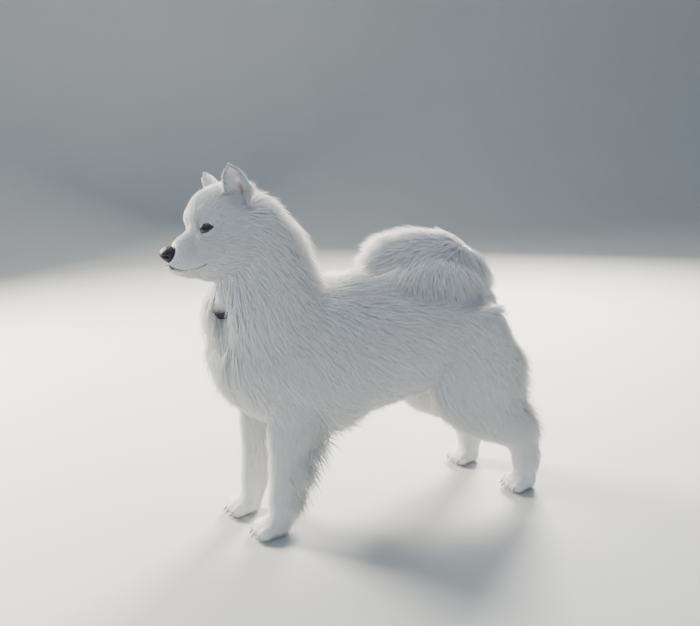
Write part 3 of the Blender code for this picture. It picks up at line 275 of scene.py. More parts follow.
# The coat of the body, for both sides: place (x, out, z), the way the hair lies, how far its tips
# stand off the skin, its length, and how deep the skin lies under the solid
BODY_COAT = [
    ((-0.045, 0.078, 0.580), (0.50, 0.30, -0.80), 0.022, 0.062, 0.002),
    ((-0.020, 0.070, 0.640), (0.70, 0.30, -0.65), 0.020, 0.055, 0.002),
    ((0.000, 0.000, 0.695), (0.75, 0.0, -0.60), 0.012, 0.052, 0.002),
    ((0.050, 0.000, 0.620), (0.50, 0.0, -0.87), 0.032, 0.075, 0.000),
    ((0.085, 0.000, 0.560), (0.60, 0.0, -0.80), 0.030, 0.078, 0.000),
    ((0.040, 0.080, 0.590), (0.50, 0.20, -0.85), 0.032, 0.078, 0.000),
    ((-0.010, 0.095, 0.540), (0.35, 0.15, -0.93), 0.034, 0.080, 0.000),
    ((-0.060, 0.070, 0.520), (0.20, 0.20, -0.96), 0.034, 0.078, 0.000),
    ((-0.090, 0.000, 0.500), (0.10, 0.0, -1.00), 0.034, 0.076, 0.000),
    ((-0.090, 0.040, 0.430), (0.25, 0.15, -0.96), 0.034, 0.078, 0.000),
    ((-0.080, 0.000, 0.380), (0.45, 0.0, -0.90), 0.028, 0.066, 0.000),
    ((-0.060, 0.060, 0.340), (0.55, 0.05, -0.83), 0.018, 0.054, 0.000),
    ((-0.045, 0.030, 0.285), (0.65, 0.00, -0.76), 0.012, 0.044, 0.000),
    ((0.000, 0.090, 0.290), (0.50, 0.00, -0.86), 0.012, 0.044, 0.000),
    ((0.030, 0.096, 0.240), (0.45, 0.00, -0.90), 0.010, 0.036, 0.003),
    ((0.030, 0.110, 0.450), (0.60, 0.10, -0.80), 0.028, 0.070, 0.000),
    ((0.020, 0.110, 0.360), (0.50, 0.05, -0.88), 0.018, 0.054, 0.000),
    ((0.110, 0.020, 0.515), (0.95, 0.05, -0.25), 0.022, 0.060, 0.000),
    ((0.300, 0.000, 0.495), (1.00, 0.0, -0.05), 0.020, 0.058, 0.000),
    ((0.300, 0.090, 0.450), (0.92, 0.15, -0.40), 0.022, 0.062, 0.000),
    ((0.200, 0.120, 0.380), (0.80, 0.05, -0.60), 0.024, 0.064, 0.000),
    ((0.300, 0.115, 0.330), (0.80, 0.05, -0.60), 0.024, 0.062, 0.000),
    ((0.200, 0.090, 0.270), (0.72, 0.00, -0.70), 0.017, 0.054, 0.000),
    ((0.240, 0.000, 0.245), (0.92, 0.0, -0.30), 0.014, 0.046, 0.000),
    ((0.040, 0.000, 0.235), (0.92, 0.0, -0.35), 0.014, 0.046, 0.000),
    ((0.350, 0.080, 0.240), (0.75, 0.00, -0.66), 0.016, 0.050, 0.000),
    ((0.380, 0.030, 0.265), (0.80, 0.00, -0.60), 0.014, 0.046, 0.000),
    ((0.440, 0.030, 0.490), (0.65, 0.30, -0.70), 0.013, 0.050, 0.002),
    ((0.430, 0.110, 0.370), (0.65, 0.00, -0.78), 0.015, 0.062, 0.002),
    ((0.430, 0.115, 0.280), (0.55, -0.06, -0.84), 0.012, 0.052, 0.004),
    ((0.490, 0.020, 0.470), (0.35, 0.10, -0.93), 0.006, 0.048, 0.011),
    ((0.505, 0.040, 0.445), (0.38, 0.06, -0.92), 0.015, 0.060, 0.006),
    ((0.515, 0.040, 0.420), (0.40, 0.05, -0.90), 0.018, 0.074, 0.004),
    ((0.530, 0.060, 0.330), (0.60, 0.00, -0.80), 0.046, 0.092, 0.000),
    ((0.540, 0.070, 0.250), (0.60, 0.00, -0.80), 0.044, 0.085, 0.000),
    ((0.560, 0.080, 0.190), (0.55, 0.00, -0.84), 0.026, 0.060, 0.000),
    ((0.500, 0.115, 0.200), (0.55, 0.00, -0.84), 0.012, 0.040, 0.006),
    ((0.605, 0.090, 0.100), (0.30, 0.00, -0.95), 0.012, 0.032, 0.004),
    ((0.545, 0.090, 0.100), (0.20, 0.00, -0.98), 0.008, 0.024, 0.004),
    ((0.560, 0.090, 0.050), (-0.10, 0.00, -1.00), 0.004, 0.014, 0.003),
    ((0.440, 0.090, 0.200), (0.50, 0.00, -0.85), 0.012, 0.036, 0.004),
    ((0.078, 0.058, 0.225), (0.72, 0.00, -0.70), 0.050, 0.086, 0.000),
    ((0.062, 0.058, 0.150), (0.74, 0.00, -0.68), 0.052, 0.080, 0.000),
    ((0.046, 0.058, 0.095), (0.74, 0.00, -0.68), 0.044, 0.066, 0.000),
    ((0.036, 0.058, 0.055), (0.62, 0.00, -0.70), 0.024, 0.040, 0.000),
    ((0.030, 0.058, 0.030), (0.30, 0.00, -0.90), 0.008, 0.020, 0.003),
    ((0.020, 0.095, 0.190), (0.35, 0.00, -0.94), 0.011, 0.036, 0.005),
    ((-0.010, 0.058, 0.190), (0.20, 0.00, -0.98), 0.010, 0.032, 0.005),
    ((-0.010, 0.058, 0.130), (0.10, 0.00, -1.00), 0.008, 0.026, 0.004),
    ((0.015, 0.090, 0.100), (0.25, 0.00, -0.97), 0.009, 0.028, 0.004),
    ((0.015, 0.030, 0.120), (0.20, 0.00, -0.98), 0.006, 0.020, 0.004),
    ((-0.015, 0.058, 0.060), (-0.15, 0.00, -0.98), 0.004, 0.014, 0.003),
    ((-0.040, 0.058, 0.030), (-0.75, 0.00, -0.60), 0.003, 0.010, 0.0025),
    ((-0.055, 0.058, 0.012), (-0.50, 0.00, -0.85), 0.003, 0.008, 0.002),
    ((0.550, 0.090, 0.030), (-0.75, 0.00, -0.60), 0.003, 0.010, 0.0025),
    ((0.530, 0.090, 0.012), (-0.50, 0.00, -0.85), 0.003, 0.008, 0.002),
    ((0.600, 0.090, 0.030), (-0.10, 0.00, -1.00), 0.005, 0.014, 0.003),
]
# The same for the head, in its own frame: forward, out, up
HEAD_COAT = [
    ((0.082, 0.000, -0.022), (-1.00, 0.00, 0.22), 0.0018, 0.007, 0.0012),
    ((0.062, 0.000, -0.008), (-1.00, 0.00, 0.30), 0.0036, 0.012, 0.0016),
    ((0.085, 0.020, -0.048), (-0.90, 0.25, -0.25), 0.0018, 0.007, 0.0010),
    ((0.070, 0.032, -0.048), (-1.00, 0.15, -0.12), 0.0032, 0.011, 0.0014),
    ((0.066, 0.030, -0.066), (-0.90, 0.20, -0.45), 0.0030, 0.010, 0.0014),
    ((0.084, 0.000, -0.070), (-0.70, 0.00, -0.70), 0.0020, 0.009, 0.0016),
    ((0.066, 0.012, -0.088), (-0.90, 0.10, -0.30), 0.0035, 0.013, 0.0028),
    ((0.045, 0.036, -0.085), (-0.95, 0.20, -0.25), 0.0040, 0.015, 0.0032),
    ((0.045, 0.000, 0.004), (-0.75, 0.00, 0.65), 0.0042, 0.014, 0.0024),
    ((0.034, 0.027, 0.020), (-0.70, 0.25, 0.65), 0.0052, 0.016, 0.0034),
    ((0.024, 0.000, 0.052), (-0.85, 0.00, 0.50), 0.0085, 0.022, 0.0052),
    ((-0.020, 0.000, 0.074), (-1.00, 0.00, 0.05), 0.0110, 0.029, 0.0070),
    ((0.000, 0.035, 0.060), (-0.95, 0.15, 0.15), 0.0100, 0.025, 0.0062),
    ((0.036, 0.038, -0.022), (-0.90, 0.35, -0.25), 0.0055, 0.017, 0.0028),
    ((0.022, 0.054, -0.036), (-0.88, 0.35, -0.30), 0.0105, 0.026, 0.0052),
    ((0.030, 0.050, -0.072), (-0.92, 0.25, -0.30), 0.0100, 0.027, 0.0060),
    ((-0.005, 0.076, -0.042), (-0.85, 0.25, -0.45), 0.0180, 0.042, 0.0080),
    ((0.000, 0.055, -0.092), (-0.80, 0.20, -0.60), 0.0190, 0.046, 0.0080),
    ((-0.040, 0.065, -0.085), (-0.70, 0.20, -0.75), 0.0240, 0.058, 0.0060),
    ((0.000, 0.062, 0.008), (-0.96, 0.22, 0.05), 0.0110, 0.027, 0.0060),
    ((-0.040, 0.072, 0.000), (-0.90, 0.25, -0.25), 0.0140, 0.038, 0.0070),
    ((-0.070, 0.045, 0.025), (-0.90, 0.25, -0.20), 0.0260, 0.058, 0.0040),
    ((-0.075, 0.000, 0.055), (-0.95, 0.00, -0.20), 0.0200, 0.054, 0.0040),
    ((-0.026, 0.046, 0.058), (-0.60, 0.35, 0.55), 0.0120, 0.030, 0.0050),
    ((-0.046, 0.070, 0.022), (-0.70, 0.25, 0.35), 0.0200, 0.042, 0.0055),
    ((-0.072, 0.058, 0.012), (-0.80, 0.35, 0.15), 0.0260, 0.056, 0.0040),
    ((0.010, 0.000, -0.107), (-0.95, 0.00, -0.30), 0.0100, 0.032, 0.0060),
    ((0.040, 0.000, -0.098), (-0.95, 0.00, -0.20), 0.0060, 0.022, 0.0045),
    ((-0.040, 0.000, -0.102), (-0.70, 0.00, -0.75), 0.0260, 0.060, 0.0040),
]
# The same for the tail: it parts on top, falls over both sides and runs down to the rump
TAIL_COAT = [
    ((0.262, 0.010, 0.555), (-0.85, 0.15, -0.15), 0.018, 0.056, 0.002),
    ((0.300, 0.000, 0.575), (-0.80, 0.05, 0.25), 0.030, 0.060, 0.002),
    ((0.320, 0.050, 0.550), (-0.55, 0.35, -0.65), 0.022, 0.080, 0.002),
    ((0.320, 0.050, 0.520), (-0.15, 0.36, -0.84), 0.020, 0.080, 0.002),
    ((0.385, 0.000, 0.580), (-0.75, 0.10, 0.20), 0.028, 0.060, 0.003),
    ((0.385, 0.060, 0.550), (-0.35, 0.40, -0.80), 0.022, 0.090, 0.004),
    ((0.390, 0.066, 0.520), (0.10, 0.32, -0.88), 0.020, 0.088, 0.004),
    ((0.430, 0.000, 0.576), (-0.70, 0.25, 0.00), 0.018, 0.056, 0.005),
    ((0.450, 0.050, 0.550), (-0.10, 0.42, -0.84), 0.018, 0.086, 0.006),
    ((0.455, 0.055, 0.515), (0.25, 0.32, -0.84), 0.016, 0.082, 0.006),
    ((0.475, 0.010, 0.560), (-0.35, 0.45, -0.40), 0.012, 0.056, 0.009),
    ((0.495, 0.020, 0.535), (0.10, 0.35, -0.80), 0.009, 0.060, 0.012),
    ((0.508, 0.010, 0.515), (0.40, 0.15, -0.82), 0.014, 0.066, 0.010),
    ((0.512, 0.010, 0.490), (0.55, 0.05, -0.80), 0.018, 0.066, 0.007),
]
# Hair of the ears: how far it rises and its length, on the back and in the cup
EAR_BACK = (0.0030, 0.011)
EAR_CUPPED = (0.0032, 0.011)
EAR_SLIT = (0.004, 0.0075)

# A direction that no tube runs along, for the turn of its sections
TUBE_UP = Vector((0.31, 0.17, 0.93))
# Finish of the meshes
BODY_VOXEL = 0.0045
BODY_SMOOTHING = 10
HEAD_STEPS = 10
HEAD_AROUND = 144
EAR_ROWS = 30
EAR_COLUMNS = 26
FIELD_SOFTENING = 36
# How much denser the tufts stand for each metre that they rise
FRINGE = 120.0
# How much denser they stand under the strap and at the tail's whorl, and how wide that whorl is
STRAP_FILL = 6
WHORL_FILL = 2
WHORL_WIDTH = 0.035
# What keeps the shortest hair from standing too densely
SPAN_LEAST = 0.006
# Half width of a tuft: what the shortest has, and what each metre of length adds
GIRTH_LEAST = 0.00044
GIRTH_SHARE = 0.0112
# How far the skin stays above the floor
SOLE = 0.0008
# The strap: how far it lies off the skin, its thickness, its steps round the neck, and how often
# they are evened out
STRAP_RISE = 0.0105
STRAP_THICKNESS = 0.0022
STRAP_STEPS = 160
STRAP_EVENING = 6
# Squares of the weave: for each step along the strap, and across half its width
WEAVE_ALONG = 2.6
WEAVE_ACROSS = 5
# The steel ring: its radius, how far it stands off and hangs below the strap's foot, and the
# radius of its wire
RING_RADIUS = 0.0065
RING_STAND = 0.004
RING_DROP = 0.0075
RING_WIRE = 0.0010
# The strap's section: across in half widths, and up off the coat in thicknesses
STRAP_PROFILE = [(-1.0, 0.0), (-1.0, 0.5), (-0.92, 1.0), (0.92, 1.0), (1.0, 0.5), (1.0, 0.0)]
# What narrows the tail when the lie of its hair is looked up
TAIL_SQUEEZE = 0.95
# How deep the tufts are rooted
SINK = 0.0020
# Each tuft's patch on the map for baking
PATCH = 0.0030
# How tufts stray from the lie: by two noises of their own scale, by chance, and more at the tip
STRAY_WIDE = (16.0, 1.1)
STRAY_FINE = (60.0, 0.6)
STRAY_CHANCE = 0.75
STRAY_TIP = (36.0, 1.2)
# Where the noise that bends the tips is read, away from those that sway the whole tuft
BEND_PLACE = (3.1, 1.7, 2.9)
# A tuft's length: its least share, and what chance adds
LENGTH_LEAST = 0.80
LENGTH_CHANCE = 0.40
# How high a tuft stands: its least share, what the place and chance add, and the few that stand out
LIFT_LEAST = 0.36
LIFT_PLACE = 0.40
LIFT_CHANCE = 0.40
LIFT_STRAY = 0.36
LIFT_RARITY = 7.0
# How a tuft bends down to its tip, and how its width goes over from root to tip
LIFT_CURVE = 1.5
GATHER_CURVE = 1.6
ROOT_WIDTH = 0.55
WIDTH_GAIN = 1.9
# How far the tufts stay above the floor
FLOOR_GAP = 0.0004
VECTOR = "FLOAT_VECTOR"
TUFT_SIDES = 3
TUFT_STEPS = 2

# How the tufts of long and short hair gather, stray and take the light
LONG = {"Lock size": 0.018, "Gather": 0.20, "Grain": 34.0, "Softest": 0.80, "Sway": 0.80}
SHORT = {"Lock size": 0.006, "Gather": 0.30, "Grain": 110.0, "Softest": 0.55, "Sway": 0.60}
# Coat pieces: name, region, tufts and kind of hair
COAT_PIECES = [
    ("coat_face", "face", 16500, SHORT),
    ("coat_head", "head", 11000, LONG),
    ("coat_ears", "ear", 6500, SHORT),
    ("coat_neck", "neck", 15500, LONG),
    ("coat_chest", "chest", 18500, LONG),
    ("coat_back", "back", 10000, LONG),
    ("coat_flank_left", "flank_left", 12500, LONG),
    ("coat_flank_right", "flank_right", 10500, LONG),
    ("coat_breeches", "rump", 14500, LONG),
    ("coat_tail", "tail", 16000, LONG),
    ("coat_legs", "leg", 18500, SHORT),
]
# What a finished tuft keeps, and what the skin gives up when the coat has grown
TUFT_FIELDS = {"position", "OFBake", "rise", "luck", "sharp_face", "custom_normal"}
SKIN_FIELDS = ("lie", "off", "reach", "span", "girth", "cling", "calm")
FLESH_NODES = ("head", "neck", "torso", "tail", "foreleg_left", "foreleg_right",
               "hindleg_left", "hindleg_right", "ear_left", "ear_right")

# The floor and its sweep up into the wall behind
FLOOR_FRONT = -6.0
FLOOR_BACK = 3.6
FLOOR_HALF_WIDTH = 9.0
SWEEP = 1.6
WALL_TOP = 7.0
# The studio's lamps: name, place, what it shines at, size, whose power it has, colour
LAMPS = [
    ("rim_left", (-1.6, 2.1, 1.7), (-0.1, 0, 0.40), 1.0, "rim_power", (1.0, 0.93, 0.82)),
    ("rim_right", (1.7, 1.9, 1.8), (0.1, 0, 0.40), 1.0, "rim_power", (1.0, 0.94, 0.85)),
    ("top", (0.0, 0.4, 2.6), (0.0, 0, 0.30), 1.6, "fill_power", (1.0, 0.98, 0.95)),
    ("fill", (-1.3, -2.6, 1.5), (0.0, 0, 0.35), 2.4, "fill_power", (0.84, 0.92, 1.0)),
]
SKY_COLOUR = (0.60, 0.74, 0.92, 1.0)
SKY_STRENGTH = 0.50
# The camera: its place, and which way its right, its top and its view point
CAMERA_PLACE = Vector((-0.3318, -1.4347, 0.801))
CAMERA_RIGHT = Vector((0.93611, -0.35049, -0.02908))
CAMERA_UP = Vector((0.10840, 0.20888, 0.97191))
CAMERA_VIEW = Vector((0.33457, 0.91298, -0.23353))
CAMERA_LENS = 38.57

# What one step leaves for the next: the muzzle's tree, the eyes' middles, the mouth's lines and
# the skin
WORK = {}


class Term:
    """One output in a node tree; arithmetic on it adds Math and Vector Math nodes."""

    def __init__(self, bench, socket):
        self.bench = bench
        self.socket = socket

    @property
    def is_vector(self):
        """Whether the output holds three numbers."""
        return self.socket.type in {"VECTOR", "RGBA"}

    def compute(self, operation, *others):
        """One operation on this term and others; a vector times a number becomes a scaling."""
        terms = (self, *others)
        vectors = [isinstance(term, tuple) or isinstance(term, Term) and term.is_vector for term in terms]
        if any(vectors):
            if operation == "MULTIPLY" and not vectors[0]:
                return others[0].compute("SCALE", self)
            if operation == "MULTIPLY" and not vectors[1]:
                operation = "SCALE"
            if operation == "SCALE":
                inputs = {0: self, 3: others[0]}
            else:
                inputs = dict(enumerate(terms))
            output = 1 if operation == "DOT_PRODUCT" else 0
            return self.bench.add("ShaderNodeVectorMath", {"operation": operation}, inputs, output)
        return self.bench.add("ShaderNodeMath", {"operation": operation}, dict(enumerate(terms)))

    def __add__(self, other):
        return self.compute("ADD", other)

    __radd__ = __add__

    def __sub__(self, other):
        return self.compute("SUBTRACT", other)

    def __rsub__(self, other):
        return self * -1.0 + other

    def __mul__(self, other):
        return self.compute("MULTIPLY", other)

    __rmul__ = __mul__

    def __rtruediv__(self, other):
        return self ** -1.0 * other

    def __pow__(self, other):
        return self.compute("POWER", other)

    def dot(self, other):
        return self.compute("DOT_PRODUCT", other)

    def cross(self, other):
        return self.compute("CROSS_PRODUCT", other)

    def unit(self):
        return self.compute("NORMALIZE")

    def mix(self, other, share):
        return self + (other - self) * share

    def ramp(self, start, end):
        """0 before start, 1 after end and smooth between them."""
        return self.bench.add("ShaderNodeMapRange", {"interpolation_type": "SMOOTHSTEP"},
                              {0: self, 1: start, 2: end, 3: 0.0, 4: 1.0})


class Bench:
    """Adds nodes to one tree and hands back their outputs as terms."""

    def __init__(self, tree):
        self.tree = tree

    def add(self, kind, settings=None, inputs=None, output=0):
        """One node: its settings first, then the values or links of its sockets."""
        node = self.tree.nodes.new(kind)
        for name, value in (settings or {}).items():
            setattr(node, name, value)
        for key, value in (inputs or {}).items():
            if isinstance(value, Term):
                self.tree.links.new(value.socket, node.inputs[key])
            else:
                node.inputs[key].default_value = value
        return Term(self, node.outputs[output])

    def blend(self, first, second, share):
        """A mix of two colours, given as terms or as triples."""
        inputs = {0: share}
        for key, value in ((6, first), (7, second)):
            inputs[key] = value if isinstance(value, Term) else (*value, 1.0)
        return self.add("ShaderNodeMix", {"data_type": "RGBA"}, inputs, 2)

    def field(self, name, kind="FLOAT"):
        """A named attribute in a geometry tree."""
        return self.add("GeometryNodeInputNamedAttribute", {"data_type": kind}, {"Name": name})

    def attribute(self, name):
        """The number stored under a name, in a material: output 2 is the node's factor."""
        return self.add("ShaderNodeAttribute", {"attribute_name": name}, None, 2)

    def noise(self, place, scale, detail=2.0):
        """Noise between 0 and 1 over places given as vectors."""
        return self.add("ShaderNodeTexNoise", None, {"Vector": place, "Scale": scale, "Detail": detail})

    def stretched(self, place, scales):
        """Places scaled apart along x, y and z."""
        return self.add("ShaderNodeMapping", None, {"Vector": place, "Scale": scales})


def finish(name, build, **constants):
    """A material whose Principled sockets take constants and the terms that build returns."""
    made = bpy.data.materials.new(name)
    made.use_nodes = True
    bench = Bench(made.node_tree)
    shader = made.node_tree.nodes["Principled BSDF"]
    place = bench.add("ShaderNodeTexCoord", None, None, "Object")
    for key, value in {**constants, **build(bench, place)}.items():
        socket = shader.inputs[key]
        if isinstance(value, Term):
            made.node_tree.links.new(value.socket, socket)
        else:
            socket.default_value = value
    return made


def bump(bench, height, distance, strength=1.0):
    """The normal that a height gives."""
    return bench.add("ShaderNodeBump", None,
                     {"Height": height, "Distance": distance, "Strength": strength})


def coat_colour(bench, place, colours):
    """White with a little warmth that drifts over the body, the same on skin and coat."""
    cool, warm = colours
    drift = bench.noise(place, 9.0, 3.0).ramp(0.35, 0.70)
    return bench.blend(cool, warm, drift)


def fur_material(settings):
    """The tufts: painted shade, darker and cooler towards the root in place of the shadow deep in the
    coat; a little different from tuft to tuft.
    """
    colours = (tuple(settings.cool_colour), tuple(settings.warm_colour))

    def build(bench, place):
        base = coat_colour(bench, place, colours)
        rise = bench.attribute("rise")
        luck = bench.attribute("luck")
        # Painted shade: the root end of each tuft is blended towards the darker, cooler root colour, in
        # place of the shadow between the tufts
        deep = bench.blend(base, tuple(settings.root_shade_colour), (1.0 - rise) ** 2.0 * 0.55)
        shade = bench.blend(deep, (1.0, 0.995, 0.985), luck * 0.22)
        return {"Base Color": shade, "Roughness": luck * 0.15 + 0.62}

    return finish("coat_tufts", build, **{"Sheen Weight": 0.35, "Sheen Roughness": 0.45,
                                          "Specular IOR Level": 0.28})


def skin_material(settings, face):
    """Short white nap; dark where bare at lids, lips and nose; pink in the ears."""
    colours = (tuple(settings.cool_colour), tuple(settings.warm_colour))

    def build(bench, place):
        base = coat_colour(bench, place, colours)
        pink = bench.attribute("pink")
        dark = bench.attribute("dark")
        mottle = bench.noise(place, 160.0, 3.0)
        under = bench.blend(base, tuple(face.ear_colour), pink * 0.9)
        bare = bench.blend(under, tuple(face.lid_colour), (dark * 1.25 - mottle * 0.25).ramp(0.2, 0.75))
        nap = bench.noise(bench.stretched(place, (260.0, 900.0, 900.0)), 1.0, 3.0)
        return {"Base Color": bare, "Roughness": 0.78 - dark * 0.32,
                "Normal": bump(bench, nap, 0.0006)}

    return finish("skin_nap", build, **{"Sheen Weight": 0.2, "Specular IOR Level": 0.3})


def grained(name, scale, colours, least, swing, relief=0.0, detail=3.0, stretch=None, **constants):
    """A fine grain of two colours: its least roughness, what the grain adds, and its relief."""
    def build(bench, place):
        grain = bench.noise(bench.stretched(place, stretch) if stretch else place, scale, detail)
        values = {"Base Color": bench.blend(*colours, grain), "Roughness": grain * swing + least}
        if relief:
            values["Normal"] = bump(bench, grain, relief)
        return values

    return finish(name, build, **constants)


def nose_material(face):
    """Dark pebbled leather with a faint mottle, a little glossy all over."""
    def build(bench, place):
        cells = bench.add("ShaderNodeTexVoronoi", {"feature": "DISTANCE_TO_EDGE"},
                          {"Vector": place, "Scale": 620.0})
        pebble = cells.ramp(0.0, 0.35)
        mottle = bench.noise(place, 130.0, 3.0)
        colour = bench.blend(tuple(face.nose_colour), (0.040, 0.030, 0.036), mottle.ramp(0.45, 0.8))
        return {"Base Color": colour, "Roughness": 0.56 - pebble * 0.14,
                "Normal": bump(bench, pebble, 0.0003, 0.6)}

    return finish("nose_leather", build, **{"Specular IOR Level": 0.28})


def eye_material(face, centre, out):
    """A dark iris with a black pupil and a thin dark ring, under a wet surface."""
    def build(bench, place):
        away = (place - tuple(centre)).unit().dot(tuple(out))
        iris = away.ramp(0.80, 0.86)
        pupil = away.ramp(0.955, 0.972)
        streaks = bench.noise(place, 900.0, 3.0)
        brown = bench.blend(tuple(face.eye_colour), (0.022, 0.012, 0.007), streaks)
        ball = bench.blend((0.010, 0.008, 0.008), brown, iris)
        return {"Base Color": bench.blend(ball, (0.003, 0.003, 0.004), pupil),
                "Roughness": 0.16 - iris * 0.06}

    return finish("eye_wet", build, **{"Coat Weight": 0.45, "Coat Roughness": 0.03,
                                       "Specular IOR Level": 0.3})


def webbing_material(strap):
    """Woven webbing: a fine weave along the strap, read from its own map."""
    def build(bench, place):
        uv = bench.add("ShaderNodeUVMap", {"uv_map": "Weave"})
        weave = bench.add("ShaderNodeTexChecker", None, {"Vector": uv, "Scale": 1.0}, 1)
        rib = bench.noise(uv, 2.0, 2.0)
        colour = bench.blend(tuple(strap.colour), tuple(strap.thread_colour), weave * rib)
        return {"Base Color": colour, "Roughness": 0.85 - rib * 0.15,
                "Normal": bump(bench, weave, 0.0003)}

    return finish("collar_webbing", build, **{"Specular IOR Level": 0.15})


def floor_material(stage):
    """A pale floor with faint clouds and specks."""
    def build(bench, place):
        cloud = bench.noise(place, 2.5, 4.0)
        speck = bench.noise(place, 220.0, 2.0)
        pale = tuple(stage.floor_colour)
        tone = bench.blend(pale, tuple(0.93 * c for c in pale), cloud)
        return {"Base Color": tone, "Roughness": speck * 0.15 + 0.6,
                "Normal": bump(bench, speck, 0.0004, 0.4)}

    return finish("studio_floor", build, **{"Specular IOR Level": 0.25})


def smooth_rows(table, steps):
    """Rows of numbers along a smooth curve through the table's rows, steps to each interval."""
    rows = []
    last = len(table) - 1
    for i in range(last):
        before, start = table[max(i - 1, 0)], table[i]
        end, after = table[i + 1], table[min(i + 2, last)]
        for step in range(steps):
            t = step / steps
            rows.append([
                0.5 * (2 * b + (c - a) * t + (2 * a - 5 * b + 4 * c - d) * t * t
                       + (3 * b - a - 3 * c + d) * t ** 3)
                for a, b, c, d in zip(before, start, end, after)
            ])
    rows.append(list(table[last]))
    return rows


def section(centre, side, up, half, over, under, square, count):
    """Points of one rounded section: its half width, height over and under centre, squareness."""
    angle = math.tau * (np.arange(count) + 0.5) / count
    c, s = np.cos(angle), np.sin(angle)
    power = np.where(s > 0, 2 / square[0], 2 / square[1])
    across = np.copysign(np.abs(c) ** power, c) * half
    height = np.copysign(np.abs(s) ** power, s) * np.where(s > 0, over, under)
    return np.array(centre) + np.outer(across, side) + np.outer(height, up)


def bands(rows, count, closed=False):
    """Faces between neighbouring rings of equal count; closed joins the last ring to the first."""
    faces = []
    for i in range(rows if closed else rows - 1):
        n = (i + 1) % rows
        for j in range(count):
            k = (j + 1) % count
            faces.append((i * count + j, i * count + k, n * count + k, n * count + j))
    return faces


def loft(rings):
    """Points and faces of a closed shell skinned through rings of equal count."""
    count = len(rings[0])
    points = [point for ring in rings for point in ring]
    faces = bands(len(rings), count)
    for ring, start in ((rings[0], 0), (rings[-1], (len(rings) - 1) * count)):
        points.append(np.mean(ring, axis=0))
        middle = len(points) - 1
        for j in range(count):
            k = (j + 1) % count
            first, second = (k, j) if start == 0 else (j, k)
            faces.append((start + first, start + second, middle))
    return np.array(points), faces


def ball(centre, sizes, segments, rings):
    """Points and faces of a closed ellipsoid."""
    rows = []
    for i in range(1, rings):
        angle = math.pi * i / rings
        rows.append(section(Vector(centre) + UPWARD * sizes[2] * math.cos(angle), (1, 0, 0), (0, 1, 0),
                            sizes[0] * math.sin(angle), sizes[1] * math.sin(angle),
                            sizes[1] * math.sin(angle), (2, 2), segments))
    points, faces = loft(rows)
    points[-2] = Vector(centre) + UPWARD * sizes[2]
    points[-1] = Vector(centre) - UPWARD * sizes[2]
    return points, faces


def tube(path, radii, sides):
    """Points and faces of a closed tube along a path."""
    rings = []
    for i, point in enumerate(path):
        along = (path[min(i + 1, len(path) - 1)] - path[max(i - 1, 0)]).normalized()
        side = along.cross(TUBE_UP).normalized()
        up = side.cross(along)
        rings.append(section(point, side, up, radii[i], radii[i], radii[i], (2, 2), sides))
    return loft(rings)


def make_mesh(name, shells):
    """One mesh from closed shells given as points and faces, with every face pointing out."""
    points, faces = [], []
    for shell_points, shell_faces in shells:
        start = sum(len(p) for p in points)
        corners = np.array(shell_points)
        volume = 0.0
        for face in shell_faces:
            for i in range(1, len(face) - 1):
                volume += np.dot(corners[face[0]], np.cross(corners[face[i]], corners[face[i + 1]]))
        ordered = shell_faces if volume > 0 else [tuple(reversed(face)) for face in shell_faces]
        points.append(corners)
        faces += [tuple(start + v for v in face) for face in ordered]
    mesh = bpy.data.meshes.new(name)
    mesh.from_pydata(np.concatenate(points).tolist(), [], faces)
    mesh.update()
    return mesh


def make_object(name, mesh, material=None):
    """A smooth object in the scene from a mesh."""
    made = bpy.data.objects.new(name, mesh)
    bpy.context.scene.collection.objects.link(made)
    if material:
        mesh.materials.clear()
        mesh.materials.append(material)
    mesh.polygons.foreach_set("use_smooth", [True] * len(mesh.polygons))
    return made


def make_piece(name, shells, material=None):
    """A smooth object in the scene from closed shells."""
    return make_object(name, make_mesh(name, shells), material)


def settle(piece, *nodes):
    """Moves a finished piece to the frame's middle, hangs it under the frame's root and hides the solids
    it stands for.
    """
    piece.data.transform(Matrix.Translation(-MIDDLE))
    piece.data.update()
    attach(piece, "root")
    if nodes:
        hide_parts(*nodes)
    return piece


def applied(obj):
    """The object's mesh with its modifiers worked in."""
    graph = bpy.context.evaluated_depsgraph_get()
    mesh = bpy.data.meshes.new_from_object(obj.evaluated_get(graph))
    obj.modifiers.clear()
    old = obj.data
    obj.data = mesh
    bpy.data.meshes.remove(old)
    return obj


def mesh_points(mesh):
    """The places of a mesh's points as an array."""
    values = np.empty(len(mesh.vertices) * 3)
    mesh.vertices.foreach_get("co", values)
    return values.reshape(-1, 3)


def set_points(mesh, points):
    """Moves a mesh's points to new places."""
    mesh.vertices.foreach_set("co", np.asarray(points).ravel())
    mesh.update()


def mesh_normals(mesh):
    """The normals at a mesh's points as an array."""
    values = np.empty(len(mesh.vertices) * 3)
    mesh.vertex_normals.foreach_get("vector", values)
    return values.reshape(-1, 3)


def set_field(mesh, name, values):
    """Stores numbers or vectors on the points of a mesh."""
    vector = values.ndim == 2
    made = mesh.attributes.new(name, VECTOR if vector else "FLOAT", "POINT")
    made.data.foreach_set("vector" if vector else "value", values.astype(np.float32).ravel())


def smoothstep(values, start, end):
    """0 before start, 1 after end and smooth between them."""
    t = np.clip((values - start) / (end - start), 0, 1)
    return t * t * (3 - 2 * t)


def bell(values, width, middle=0.0):
    """1 where values are at the middle, falling off on both sides."""
    return np.exp(-((values - middle) / width) ** 2)


def tree_of(mesh):
    """A search tree over a mesh's faces."""
    bm = bmesh.new()
    bm.from_mesh(mesh)
    tree = BVHTree.FromBMesh(bm)
    bm.free()
    return tree


